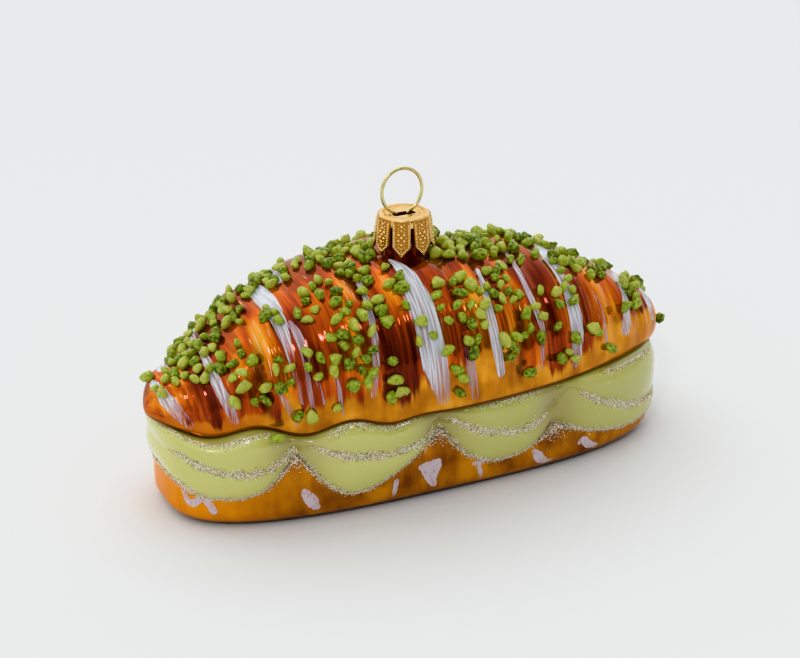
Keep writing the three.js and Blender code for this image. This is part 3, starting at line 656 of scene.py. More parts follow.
# Granules of green mineral, stuck where the glaze was tacky
granule = {
    "smallest": 1.8, "largest": 3.0, "rise": 0.28, "closest": 0.46, "attempts": 12,
    "clearOfCap": 8.6, "endMargin": 1.1, "rimMargin": 0.03, "seed": 4711, "mirroredBelow": 0.4,
    "halfAxes": (0.68, 0.53, 0.5), "unevenness": 0.45, "tilt": 0.6, "kinds": 11,
    "chips": 7, "chipFrom": (0.3, 0.42), "chipDepth": 0.95,  # flat faces where the mineral broke
    "loose": [  # size, place, facing, turn: on the cream, and at both tips
        (2.7, (-40.9, -20.6, 21.9), (-0.3, -0.95, 0.2), 0.4),
        (2.6, (63.1, -3.0, 23.2), (0.95, -0.3, 0.1), 1.0),
        (2.5, (-60.9, 2.4, 30.2), (-0.8, 0.2, 0.5), 2.0)],
    "overLeftRidge": [  # size, x, up, turn: a few more, just behind the ridge
        (2.6, -47.3, 0.6, 0.3), (2.4, -45.0, 0.62, 1.2), (2.6, -46.3, 0.67, 2.0), (2.3, -43.9, 0.67, 0.8),
        (2.5, -42.3, 0.65, 2.6), (2.3, -42.9, 0.59, 1.7), (2.4, -45.3, 0.565, 0.1)],
}
patches = [  # x, up, reach each way, number
    (-58, 0.34, 3.2, 0.1, 6), (-54, 0.49, 4.5, 0.12, 12), (-51.5, 0.31, 2.4, 0.05, 4),
    (-46, 0.25, 3, 0.09, 9), (-46, 0.47, 5, 0.09, 13), (-44, 0.11, 3.6, 0.04, 5),
    (-38, 0.17, 2.4, 0.055, 6), (-37, 0.34, 2.4, 0.06, 4), (-34.5, 0.055, 1.8, 0.02, 2),
    (-40.5, 0.56, 3.4, 0.06, 8), (-31.5, 0.56, 5.5, 0.06, 13), (-31.5, 0.17, 2.4, 0.05, 5),
    (-30.5, 0.31, 2.4, 0.05, 5),
    (-28, 0.17, 1.4, 0.06, 3), (-28, 0.035, 0.6, 0.01, 1), (-26, 0.35, 3.4, 0.06, 8),
    (-22.5, 0.19, 3.8, 0.12, 21), (-18, 0.38, 4.4, 0.05, 7), (-17, 0.53, 9, 0.09, 34),
    (-16.5, 0.26, 2.2, 0.05, 6), (-15.5, 0.11, 1.8, 0.07, 6), (-10.5, 0.31, 2.6, 0.08, 6),
    (-8, 0.18, 2, 0.05, 3), (-3, 0.23, 1.6, 0.1, 5), (-0.5, 0.06, 1.6, 0.04, 4),
    (2.5, 0.16, 2, 0.05, 5), (4.5, 0.25, 4, 0.07, 13), (10, 0.47, 8.5, 0.1, 30),
    (10, 0.21, 1, 0.02, 1), (12.5, 0.13, 2.2, 0.04, 4), (13.5, 0.3, 4.4, 0.07, 15),
    (16.5, 0.045, 2, 0.015, 2), (19, 0.16, 2.6, 0.07, 6), (22, 0.42, 5, 0.06, 7),
    (24.5, 0.22, 2, 0.07, 4), (26.5, 0.06, 2.6, 0.03, 4), (29, 0.55, 9, 0.05, 14),
    (29.5, 0.11, 0.8, 0.02, 1), (31, 0.24, 2.2, 0.05, 5), (31.5, 0.36, 1.8, 0.07, 5),
    (35, 0.13, 1.6, 0.02, 3), (40, 0.4, 7, 0.08, 22), (40, 0.05, 0.6, 0.01, 1),
    (46, 0.2, 1.2, 0.03, 2), (51, 0.3, 2.6, 0.09, 7), (57, 0.45, 0.8, 0.03, 1),
]


def makeDraw(seed):  # numbers from 0 to 1, the same ones as in the solids
    state, states = seed, 2 ** 32

    def draw():
        nonlocal state
        state = (state * 1664525 + 1013904223) % states
        return state / states
    return draw


def placeGranules():
    draw = makeDraw(granule["seed"])
    lower = [patch for patch in patches if patch[1] < granule["mirroredBelow"]]
    spread = granule["largest"] - granule["smallest"]
    placed, middles, sizes = [], np.zeros((0, 3)), np.zeros(0)
    for middleX, middleUp, reachX, reachUp, count in patches + turnedRound(lower):
        for number in range(count):
            for attempt in range(granule["attempts"]):
                size = granule["smallest"] + spread * draw()
                out, way = math.sqrt(draw()), 2 * math.pi * draw()
                x = middleX + reachX * out * math.cos(way)
                up = middleUp + reachUp * out * math.sin(way)
                turn = math.pi * draw()
                if abs(x) >= planReach(topCrust["plan"], x) - granule["endMargin"]:
                    continue
                if min(up, 1 - up) <= granule["rimMargin"]:
                    continue
                middle = crustPoint(x, up, granule["rise"] * size)
                distances = np.linalg.norm(middles - middle, axis=1)
                clear = math.dist(middle, (capSpot["x"], 0, 0)) > granule["clearOfCap"]
                if clear and (distances > granule["closest"] * (sizes + size)).all():
                    placed.append((size, middle, crustNormal(x, up), turn))
                    middles, sizes = np.vstack([middles, middle]), np.append(sizes, size)
                    break
    return placed


def tintEach(tree, instances, seed):  # a number from 0 to 1 for each, that its material reads
    tint = addNode(tree, "FunctionNodeRandomValue", {"Seed": seed}, data_type="FLOAT")[1]
    return addNode(tree, "GeometryNodeStoreNamedAttribute", {
        "Geometry": instances, "Value": tint, "Name": "tint"}, data_type="FLOAT", domain="INSTANCE")[0]


def makeGranules(material):
    stuck = placeGranules() + granule["loose"]
    for size, x, up, turn in granule["overLeftRidge"]:
        stuck.append((size, crustPoint(x, up, granule["rise"] * size), crustNormal(x, up), turn))
    chance = np.random.RandomState(7)
    spots, turns, kinds = [], [], []
    for size, middle, normal, turn in stuck:
        lie = Vector((0, 0, 1)).rotation_difference(Vector(normal))
        lean = Euler(chance.uniform(-granule["tilt"], granule["tilt"], 2).tolist() + [0]).to_quaternion()
        spots.append(middle)
        turns.append((lie @ Quaternion((0, 0, 1), turn) @ lean).to_euler()[:])
        kinds.append(chance.randint(granule["kinds"]))
    piece = addMesh("greenGranules", spots, unit=mm, fields={
        "turn": turns, "size": [row[0] * mm for row in stuck], "kind": kinds})

    tree, inputs = newTree("granules", {"Unevenness": "Float", "Half axes": "Vector"})
    place = addNode(tree, "GeometryNodeInputPosition")[0]
    ball = addNode(tree, "ShaderNodeVectorMath", {0: place}, operation="NORMALIZE")[0]
    chance, pebbles = np.random.RandomState(23), []
    for kind in range(granule["kinds"]):
        cube = addNode(tree, "GeometryNodeMeshCube", {
            "Size": (2, 2, 2), "Vertices X": 4, "Vertices Y": 4, "Vertices Z": 4})
        grain = addNode(tree, "ShaderNodeVectorMath", {0: ball, 1: (7.3 * kind, 3.1, -5.7 * kind)},
                        operation="ADD")[0]
        noise = addNode(tree, "ShaderNodeTexNoise", {"Vector": grain, "Scale": 1.15, "Detail": 1.5})[1]
        centred = addNode(tree, "ShaderNodeVectorMath", {0: noise, 1: (0.5, 0.5, 0.5)},
                          operation="SUBTRACT")[0]
        dents = addNode(tree, "ShaderNodeVectorMath", {0: centred, "Scale": inputs["Unevenness"]},
                        operation="SCALE")[0]
        stretch = (1 + 0.2 * math.sin(2.4 * kind), 1 + 0.12 * math.cos(3.7 * kind), 1.0)
        shaped = ball
        for operation, other in (("MULTIPLY", inputs["Half axes"]), ("MULTIPLY", stretch), ("ADD", dents)):
            shaped = addNode(tree, "ShaderNodeVectorMath", {0: shaped, 1: other}, operation=operation)[0]
        for chip in range(granule["chips"]):
            facing = Vector(chance.normal(size=3)).normalized()
            over = addNode(tree, "ShaderNodeVectorMath", {0: shaped, 1: facing}, operation="DOT_PRODUCT")
            high = addNode(tree, "ShaderNodeMath", {
                0: over["Value"], 1: chance.uniform(*granule["chipFrom"])}, operation="SUBTRACT")[0]
            cut = addNode(tree, "ShaderNodeMath", {0: high, 1: 0.0}, operation="MAXIMUM")[0]
            inward = addNode(tree, "ShaderNodeVectorMath", {
                0: -granule["chipDepth"] * facing, "Scale": cut}, operation="SCALE")[0]
            shaped = addNode(tree, "ShaderNodeVectorMath", {0: shaped, 1: inward}, operation="ADD")[0]
        moved = addNode(tree, "GeometryNodeSetPosition", {"Geometry": cube[0], "Position": shaped})
        smooth = addNode(tree, "GeometryNodeSetShadeSmooth", {"Geometry": moved[0]})
        noted = addNode(tree, "GeometryNodeStoreNamedAttribute", {
            "Geometry": smooth[0], "Value": grain, "Name": "grain"},
            data_type="FLOAT_VECTOR", domain="POINT")
        pebbles.append(noted[0])
    pebble = addNode(tree, "GeometryNodeGeometryToInstance", {0: pebbles})
    turn, size, kind = [
        addNode(tree, "GeometryNodeInputNamedAttribute", {"Name": name}, data_type=dataType)[0]
        for name, dataType in (("turn", "FLOAT_VECTOR"), ("size", "FLOAT"), ("kind", "INT"))]
    places = addNode(tree, "GeometryNodeMeshToPoints", {"Mesh": inputs["Geometry"]})
    rotation = addNode(tree, "FunctionNodeEulerToRotation", {0: turn})
    placed = addNode(tree, "GeometryNodeInstanceOnPoints", {
        "Points": places[0], "Instance": pebble[0], "Pick Instance": True, "Instance Index": kind,
        "Rotation": rotation[0], "Scale": size})
    return growPiece(piece, tree, tintEach(tree, placed[0], 3), inputs, {
        "Unevenness": granule["unevenness"], "Half axes": granule["halfAxes"], "Material": material})


# Glitter is scattered where the glue was drawn along the cream's edges and folds
def makeGlitter(sources, material):
    size, points, faces, amount = glitterLines, [], [], []
    for source in sources:
        first, mesh = len(points), source.data
        points += [vertex.co[:] for vertex in mesh.vertices]
        across = np.array(points[first:])[:, 1]
        corners = [list(polygon.vertices) for polygon in mesh.polygons]
        shown = [face for face in corners if np.ptp(across[face]) < size["widestFace"] * mm]
        faces += [[first + i for i in face] for face in shown]
        values = np.zeros(len(mesh.vertices))
        mesh.attributes["glitter"].data.foreach_get("value", values)
        amount.append(values)
    piece = addMesh("glitterBands", points, faces, {"glitter": np.concatenate(amount)})

    tree, inputs = newTree("glitter", {
        "Flakes per square metre": "Float", "Flake size": "Float", "Seed": "Int"})
    where = addNode(tree, "GeometryNodeInputNamedAttribute", {"Name": "glitter"}, data_type="FLOAT")[0]
    density = addNode(tree, "ShaderNodeMath", {0: where, 1: inputs["Flakes per square metre"]},
                      operation="MULTIPLY")[0]
    spots = addNode(tree, "GeometryNodeDistributePointsOnFaces", {
        "Mesh": inputs["Geometry"], "Density": density, "Seed": inputs["Seed"]}, distribute_method="RANDOM")
    lift = addNode(tree, "ShaderNodeVectorMath", {0: spots["Normal"], "Scale": size["lift"] * mm},
                   operation="SCALE")
    lifted = addNode(tree, "GeometryNodeSetPosition", {"Geometry": spots[0], "Offset": lift[0]})
    flake = addNode(tree, "GeometryNodeMeshCone", {
        "Vertices": 3, "Radius Bottom": 1.0, "Depth": size["thickness"]})
    tilt = addNode(tree, "FunctionNodeRandomValue", {
        0: tuple(-reach for reach in size["tilt"]), 1: size["tilt"], "Seed": 4}, data_type="FLOAT_VECTOR")
    tilted = addNode(tree, "FunctionNodeEulerToRotation", {0: tilt[0]})
    turned = addNode(tree, "FunctionNodeRotateRotation", {0: spots["Rotation"], 1: tilted[0]},
                     rotation_space="LOCAL")
    share = addNode(tree, "FunctionNodeRandomValue", {
        2: size["smallestShare"], 3: size["largestShare"], "Seed": 5}, data_type="FLOAT")
    flakeSize = addNode(tree, "ShaderNodeMath", {0: share[1], 1: inputs["Flake size"]},
                        operation="MULTIPLY")
    scattered = addNode(tree, "GeometryNodeInstanceOnPoints", {
        "Points": lifted[0], "Instance": flake[0], "Rotation": turned[0], "Scale": flakeSize[0]})
    return growPiece(piece, tree, tintEach(tree, scattered[0], 6), inputs, {
        "Flakes per square metre": size["flakesPerSquareMm"] / mm ** 2,
        "Flake size": size["flakeSize"] * mm, "Seed": size["seed"], "Material": material})


# Cap: thin stamped brass, a fluted rim round the slot and eight beaded petals
capShape = {
    "sides": 360, "slotLength": 5.2, "slotWidth": 2.2, "slotPower": 6, "flutes": 60, "fluteDepth": 0.24,
    "fluteRings": [(4.5, 0.5, 0.4, 1.0), (3.4, 0.3, 0.3, 0.6)],  # radius, reach, polished and lit within, strength
    "topRows": 14, "sunkRows": 9, "topPolishAndLight": 0.85, "sunkPolishAndLight": 0.75,
    # How round (0 at the slot, 1 from there out), radius, height below the cap's top. Between the
    # slot and the rim the sheet is pressed into a low ring
    "profile": [
        (0, 0, -0.52), (0.3, 2.75, -0.5), (0.75, 2.85, -0.44), (1, 3.0, -0.36), (1, 3.2, -0.28),
        (1, 3.45, -0.25), (1, 3.65, -0.33), (1, 3.8, -0.38), (1, 4.0, -0.27), (1, 4.25, -0.08),
        (1, 4.45, 0.02), (1, 4.7, 0.04), (1, 4.95, 0.0), (1, 5.2, -0.12), (1, 5.4, -0.32),
        (1, 5.55, -0.6), (1, 5.63, -0.95), (1, 5.65, -1.4), (1, 5.62, -2.1), (1, 5.32, -2.1),
        (1, 5.3, -1.3), (1, 5.1, -0.75), (1, 4.7, -0.5), (1, 4.2, -0.5), (1, 3.6, -0.75),
        (1, 3.0, -0.8), (0.5, 2.85, -0.85), (0, 0, -0.9), (0, 0, -0.52)],
}
petalShape = {
    "count": 8, "firstTurn": 14.5, "ringRadius": 5.75, "width": 3.8, "length": 7.4, "tip": 2.1,
    "flare": 6.2, "top": -0.9, "start": -0.35, "wall": 0.32, "bow": 0.16,
    "hemWidth": 0.22, "hemHeight": 0.1,
    "hemPolishAndLight": 0.9, "sheetPolishAndLight": 0.1, "insidePolishAndLight": 0.4, "steps": (14, 7), "stepsAcross": 13,
    "beadRadius": 0.27, "beadStep": 0.52, "beadInset": 0.38, "firstBead": 0.5,
    "middleBeads": [(0.7, 1.4), (1.6, 1.2), (3.15, 1.5), (4.75, 1.5), (5.6, 1.1), (6.25, 0.9), (6.77, 1.0)],
    "pairedBeads": [  # across, down, size
        (0.62, 2.5, 1.5), (0.62, 3.85, 1.5), (1.05, 3.15, 0.9), (0.6, 0.3, 0.8), (0.6, 1.2, 0.8),
        (0.6, 1.85, 0.8), (0.6, 4.55, 0.8), (0.6, 5.3, 0.8)],
}


def makeCapRim(material):
    size = capShape
    turns = np.linspace(0, 2 * np.pi, size["sides"], endpoint=False)
    c, s, ridges = np.cos(turns), np.sin(turns), np.cos(size["flutes"] * turns)
    slot = sum(np.abs(side / (size[length] / 2)) ** size["slotPower"]
               for side, length in ((c, "slotLength"), (s, "slotWidth"))) ** (-1 / size["slotPower"])
    rows, polish = [], []
    for k, (roundness, radius, height) in enumerate(size["profile"]):
        reach = slot + (radius - slot) * roundness
        rings = size["fluteRings"] if k < size["topRows"] else []
        window = sum(strength * hill(radius, middle, reach, 4) for middle, reach, within, strength in rings)
        dip = size["fluteDepth"] * window * (0.5 - 0.5 * ridges)
        rows.append(np.stack([capSpot["x"] + reach * c, reach * s, capSpot["top"] + height - dip], -1))
        fluted = any(abs(radius - middle) < within for middle, reach, within, strength in rings)
        plain = size["sunkPolishAndLight"] if k < size["sunkRows"] else size["topPolishAndLight"]
        # Painted light and shade: lighter on the flutes' ridges, darker in their grooves and in the sunk
        # ring
        polish.append(0.5 + 0.5 * ridges if fluted else np.full(size["sides"], plain))
    faces = loopFaces(len(rows), size["sides"])
    piece = makePiece("crownCapRim", rows, faces, {"polish": polish}, sharpFrom=60)
    piece.data.materials.append(material)
    return piece


def petalPoint(across, down, depth=0.0):  # in the cap's own middle, across and down in millimetres
    size = petalShape
    flare = math.radians(size["flare"])
    bow = size["bow"] * (across / (size["width"] / 2)) ** 2
    outward = size["ringRadius"] - bow - depth
    return (outward + down * math.sin(flare), across, size["top"] - down * math.cos(flare))


def makePetalSheet():
    size = petalShape
    straight = size["length"] - size["tip"]
    downs = np.concatenate([np.linspace(size["start"], straight, size["steps"][0]),
                            np.linspace(straight, size["length"], size["steps"][1])[1:]])
    shares = np.linspace(-1, 1, size["stepsAcross"])
    rows, polish = [], []
    for down in downs:
        half = max(size["width"] / 2 * min(1, (size["length"] - down) / size["tip"]), 0.02)
        # The raised hem lighter; the flat sheet between the beads and the inside darker, with tarnish and
        # painted shade
        onHem = [half * (1 - abs(share)) < size["hemWidth"] for share in shares]
        polish += [size["hemPolishAndLight"] if hem else size["sheetPolishAndLight"] for hem in onHem]
        polish += [size["insidePolishAndLight"]] * len(shares)
        outer = [petalPoint(half * share, down, -size["hemHeight"] * hem)
                 for share, hem in zip(shares, onHem)]
        inner = [petalPoint(half * share, down, size["wall"]) for share in shares[::-1]]
        rows.append(outer + inner)
    columns = len(rows[0])
    faces = loopFaces(len(rows), columns)
    for first in (0, (len(rows) - 1) * columns):
        for j in range(columns // 2 - 1):
            faces.append((first + j, first + j + 1, first + columns - 2 - j, first + columns - 1 - j))
    return makePiece("petalSheet", rows, faces, {"polish": polish}, sharpFrom=40)


def placeBeads():
    size = petalShape
    straight, step, inset = size["length"] - size["tip"], size["beadStep"], size["beadInset"]
    edge, slant = size["width"] / 2 - inset, math.hypot(size["width"] / 2, size["tip"])
    pairs = list(size["pairedBeads"])
    for k in range(int((straight - size["firstBead"]) / step) + 1):
        pairs.append((edge, size["firstBead"] + k * step, 1.0))
    for k in range(1, int(slant / step)):
        share = k * step / slant
        pairs.append((edge * (1 - share), straight + 0.1 + (size["tip"] - inset) * share, 1.0))
    return [(0, *bead) for bead in size["middleBeads"]] + [
        (side * across, down, share) for across, down, share in pairs for side in (-1, 1)]


def makePetals(material):
    size, petal, beads = petalShape, makePetalSheet(), placeBeads()
    piece = addMesh("crownCapPetals", [petalPoint(across, down) for across, down, share in beads],
                    fields={"share": [share for *_, share in beads]})
    tree, inputs = newTree("petals", {"Sheet": "Object", "Petals": "Int", "First turn": "Float",
                                      "Bead radius": "Float", "Place": "Vector", "Scale": "Float"})
    bead = addNode(tree, "GeometryNodeMeshUVSphere", {
        "Radius": inputs["Bead radius"], "Segments": 8, "Rings": 5})
    softBead = addNode(tree, "GeometryNodeSetShadeSmooth", {"Geometry": bead[0]})
    # The beads brightest, with polish and painted highlight
    polishedAndLit = addNode(tree, "GeometryNodeStoreNamedAttribute", {
        "Geometry": softBead[0], "Name": "polish", "Value": 1.0}, data_type="FLOAT", domain="POINT")
    share = addNode(tree, "GeometryNodeInputNamedAttribute", {"Name": "share"}, data_type="FLOAT")
    dots = addNode(tree, "GeometryNodeMeshToPoints", {"Mesh": inputs["Geometry"]})
    beadRows = addNode(tree, "GeometryNodeInstanceOnPoints", {
        "Points": dots[0], "Instance": polishedAndLit[0], "Scale": share[0]})
    sheet = addNode(tree, "GeometryNodeObjectInfo", {"Object": inputs["Sheet"]})
    unscaled = addNode(tree, "GeometryNodeTransform", {
        "Geometry": sheet["Geometry"], "Scale": (1 / mm, 1 / mm, 1 / mm)})
    onePetal = addNode(tree, "GeometryNodeJoinGeometry", {0: [beadRows[0], unscaled[0]]})
    petalKind = addNode(tree, "GeometryNodeGeometryToInstance", {0: onePetal[0]})
    around = addNode(tree, "GeometryNodePoints", {"Count": inputs["Petals"]})
    number = addNode(tree, "GeometryNodeInputIndex")
    oneTurn = addNode(tree, "ShaderNodeMath", {0: 2 * math.pi, 1: inputs["Petals"]}, operation="DIVIDE")
    angle = addNode(tree, "ShaderNodeMath", {0: number[0], 1: oneTurn[0], 2: inputs["First turn"]},
                    operation="MULTIPLY_ADD")
    spin = addNode(tree, "ShaderNodeCombineXYZ", {"Z": angle[0]})
    spun = addNode(tree, "FunctionNodeEulerToRotation", {0: spin[0]})
    crown = addNode(tree, "GeometryNodeInstanceOnPoints", {
        "Points": around[0], "Instance": petalKind[0], "Rotation": spun[0]})
    sized = addNode(tree, "ShaderNodeCombineXYZ", {axis: inputs["Scale"] for axis in (0, 1, 2)})
    placed = addNode(tree, "GeometryNodeTransform", {
        "Geometry": crown[0], "Translation": inputs["Place"], "Scale": sized[0]})
    growPiece(piece, tree, placed[0], inputs, {
        "Sheet": petal, "Petals": size["count"], "First turn": math.radians(size["firstTurn"]),
        "Bead radius": size["beadRadius"], "Scale": mm, "Material": material,
        "Place": (capSpot["x"] * mm, 0.0, capSpot["top"] * mm)})
    bpy.data.objects.remove(petal)
    return piece


# Ring: spring wire that comes up through the slot
def makeRing(material):
    ring = {"x": -2.7, "wire": 0.76, "halfWidth": 4.75, "riseTop": 5.0, "riseBottom": 5.2, "middle": 63.6,
            "legX": 1.5, "leg": [(1.42, 57.4), (1.35, 54.2)], "sides": 14, "arcPoints": 22, "steps": 6}
    start = math.acos(ring["legX"] / ring["halfWidth"])
    points = [(-x, z) for x, z in ring["leg"][::-1]]
    for i in range(ring["arcPoints"] + 1):
        angle = math.pi + start - (math.pi + 2 * start) * i / ring["arcPoints"]
        rise = ring["riseTop"] if math.sin(angle) > 0 else ring["riseBottom"]
        points.append((ring["halfWidth"] * math.cos(angle), ring["middle"] + rise * math.sin(angle)))
    path = smoothPath(points + ring["leg"], ring["steps"])
    ahead = np.gradient(path, axis=0)
    ahead /= np.linalg.norm(ahead, axis=1, keepdims=True)
    turns, radius = np.linspace(0, 2 * np.pi, ring["sides"], endpoint=False), ring["wire"] / 2
    side, depth = radius * np.cos(turns), radius * np.sin(turns)
    rows = [np.stack([ring["x"] + x - stepZ * side, depth, z + stepX * side], -1)
            for (x, z), (stepX, stepZ) in zip(path, ahead)]
    last = (len(rows) - 1) * ring["sides"]
    ends = [tuple(range(first, first + ring["sides"])) for first in (0, last)]
    piece = makePiece("hangingRing", rows, loopFaces(len(rows), ring["sides"]) + ends, sharpFrom=60)
    piece.data.materials.append(material)
    return piece


lacquerTones = {
    # From the darkest streaks of red-brown to where the silvering shines through; the patches of painted
    # reflection push it lighter or darker
    "brushed": [(0.36, "#48120a"), (0.43, "#72200a"), (0.49, "#9c380c"), (0.54, "#be520e"),
                (0.6, "#e67c16"), (0.68, "#ffae40")],
    "glint": "#f6c39a", "shadow": "#7e2e10", "crease": "#6e300c", "paintedLipShade": "#5e2c0a",
    "rim": [(0.36, "#a35c14"), (0.5, "#c87e1e"), (0.64, "#e8a038")], "redRim": "#c45c14",
    "base": [(0.36, "#743808"), (0.5, "#a6600e"), (0.64, "#cc8418")],
    "lighterTone": "#fb9c12", "glueAndShadeUnderGlitter": "#7e360a", "foot": "#2c1410",
    "topVeil": "#b598a2", "bristleMark": "#a2a5af", "topGlaze": "#d6dbe2", "baseVeil": "#c4a6a6",
    "baseGlaze": "#cdbfc8",
}
lacquerStreaks = {
    # How many for each millimetre across and down the surface, detail, layer. The hairs of the brush
    # are 0.4 mm apart on the top, and dabbed rather than drawn below
    "patch": (0.13, 0.035, 1.0, 11.0), "broad": (0.42, 0.045, 2.0, 7.0), "fine": (1.1, 0.07, 2.0, 5.0),
    "topHairs": (2.6, 0.10, 2.0, 3.0), "baseHairs": (1.7, 0.8, 2.0, 3.0), "cloud": (0.45, 0.16, 2.0, 13.0),
}


def brushedLacquer(tree, streaks, bristle):  # red-brown streaks over a golden rim
    tones = lacquerTones
    rise, glow, crease, band = [addNode(tree, "ShaderNodeAttribute", attribute_name=name)["Fac"]
                                for name in ("rise", "glow", "crease", "band")]
    patch, broad, fine = [streaks(*lacquerStreaks[name]) for name in ("patch", "broad", "fine")]
    # The streaks, lighter or darker where the painted reflection lies
    streaksAndPaintedLight = weigh(tree, 0.0, (glow, 0.13), (patch, 0.45), (broad, 0.35), (fine, 0.2))
    body = addNode(tree, "ShaderNodeValToRGB", {"Fac": streaksAndPaintedLight}, stops=tones["brushed"])[0]
    glint = stepAcross(tree, 0.69, 0.77, 0.0, (bristle, 1.0), (glow, 0.14))
    shadow = stepAcross(tree, 0.73, 0.8, 0.0, (rise, 0.35), (broad, 0.9), high=0.65)
    spot = addNode(tree, "ShaderNodeTexCoord")["Object"]
    blotch = addNode(tree, "ShaderNodeTexNoise", {"Vector": spot, "Scale": 160.0, "Detail": 2.0})[0]
    golden = addNode(tree, "ShaderNodeValToRGB", {"Fac": weigh(tree, 0.0, (blotch, 0.7), (broad, 0.3))},
                     stops=tones["rim"])[0]
    place = addNode(tree, "ShaderNodeSeparateXYZ", {0: spot})[0]
    rim = addCoats(tree, golden, (stepAcross(tree, -0.036, -0.052, place, high=0.7), tones["redRim"]))
    # The rim stays golden, up to a ragged line that the streaks reach down across
    ragged = stepAcross(tree, 0.145, 0.175, band, (patch, 0.16), (broad, 0.16))
    # Painted glints, and painted shade near the ridge and along the creases
    whole = addCoats(tree, body, (glint, tones["glint"]), (shadow, tones["shadow"]), (ragged, rim),
                     (crease, tones["crease"]))
    # Painted shade under the lip, where the rise is below 0
    return addCoats(tree, tones["paintedLipShade"], (stepAcross(tree, -0.035, -0.012, rise), whole))


def cloudedLacquer(tree, streaks, level):  # amber, lighter toward the left, with a painted shadow where it meets the floor
    tones = lacquerTones
    glitter, peak = [addNode(tree, "ShaderNodeAttribute", attribute_name=name)["Fac"]
                     for name in ("glitter", "peak")]
    spot = addNode(tree, "ShaderNodeTexCoord")["Object"]
    blotch = addNode(tree, "ShaderNodeTexNoise", {"Vector": spot, "Scale": 130.0, "Detail": 2.5})[0]
    clouded = weigh(tree, 0.0, (blotch, 0.75), (streaks(*lacquerStreaks["cloud"]), 0.25))
    amber = addNode(tree, "ShaderNodeValToRGB", {"Fac": clouded}, stops=tones["base"])[0]
    place = addNode(tree, "ShaderNodeSeparateXYZ", {0: spot})[0]
    # Lighter toward the left end
    lighterTone = stepAcross(tree, -0.012, -0.05, place, (blotch, 0.03), high=0.85)
    return addCoats(tree, amber, (weigh(tree, -0.45, (clouded, 0.9), (lighterTone, 1.0)), tones["lighterTone"]),
                    # darker under the glitter: the glue, and painted shade
                    (weigh(tree, 0.0, (glitter, 0.5), (peak, 0.5)), tones["glueAndShadeUnderGlitter"]),
                    # painted shadow, low down where it meets the floor
                    (stepAcross(tree, 2.0, 0.4, level, high=0.85), tones["foot"]))


def makeLacquer(name, forTop):
    # Silvered blown glass under translucent amber lacquer: a tinted mirror with a clear hard coat, so it
    # is a metal in amber under a coat
    material, tree = newMaterial(name)
    along, level, paint, cover = [addNode(tree, "ShaderNodeAttribute", attribute_name=label)["Fac"]
                                  for label in ("along", "girth" if forTop else "high", "paint", "cover")]
    across = addNode(tree, "ShaderNodeCombineXYZ", {0: along, 1: level})[0]

    def streaks(perMm, alongPerMm, detail, layer):  # noise drawn out down the surface
        spot = addNode(tree, "ShaderNodeVectorMath", {
            0: across, 1: (perMm, alongPerMm, 1), 2: (0, 0, layer)}, operation="MULTIPLY_ADD")
        return addNode(tree, "ShaderNodeTexNoise", {
            "Vector": spot[0], "Scale": 1.0, "Detail": detail, "Roughness": 0.55})[0]

    tones, bristle = lacquerTones, streaks(*lacquerStreaks["topHairs" if forTop else "baseHairs"])
    if forTop:
        lacquer, veilTone = brushedLacquer(tree, streaks, bristle), tones["topVeil"]
        between = stepAcross(tree, 0.36, 0.56, bristle)
        glaze = addCoats(tree, tones["bristleMark"], (between, tones["topGlaze"]))
    else:
        lacquer, veilTone = cloudedLacquer(tree, streaks, level), tones["baseVeil"]
        glaze = tones["baseGlaze"]
    # Glaze is opaque white where the brush was full, and breaks up into lilac streaks where it ran dry
    inside = stepAcross(tree, 0.23, 0.36, paint, (bristle, 0.5))
    wet = weigh(tree, -1.3, (bristle, 2.6), (cover, 1.0))
    veiled, whitened = [addNode(tree, "ShaderNodeMath", {0: inside, 1: stepAcross(tree, start, end, wet)},
                                operation="MULTIPLY")[0] for start, end in ((-0.05, 0.4), (0.45, 0.95))]
    colour = addCoats(tree, lacquer, (weigh(tree, 0.0, (veiled, 0.8)), veilTone), (whitened, glaze))
    # It stands up a little, with the marks of its bristles
    thick = weigh(tree, 0.0, (whitened, 0.6), (bristle, 0.3))
    bump = addNode(tree, "ShaderNodeBump", {"Height": thick, "Strength": 0.3, "Distance": 0.12 * mm})
    finishMaterial(tree, {
        "Base Color": colour, "Metallic": weigh(tree, 0.8, (veiled, -0.8)),
        "Roughness": weigh(tree, 0.1, (veiled, 0.3)), "Normal": bump[0], "Specular Tint": "#ffd0a0",
        "Coat Weight": 0.5, "Coat Roughness": 0.03, "Coat IOR": 1.45})
    return material


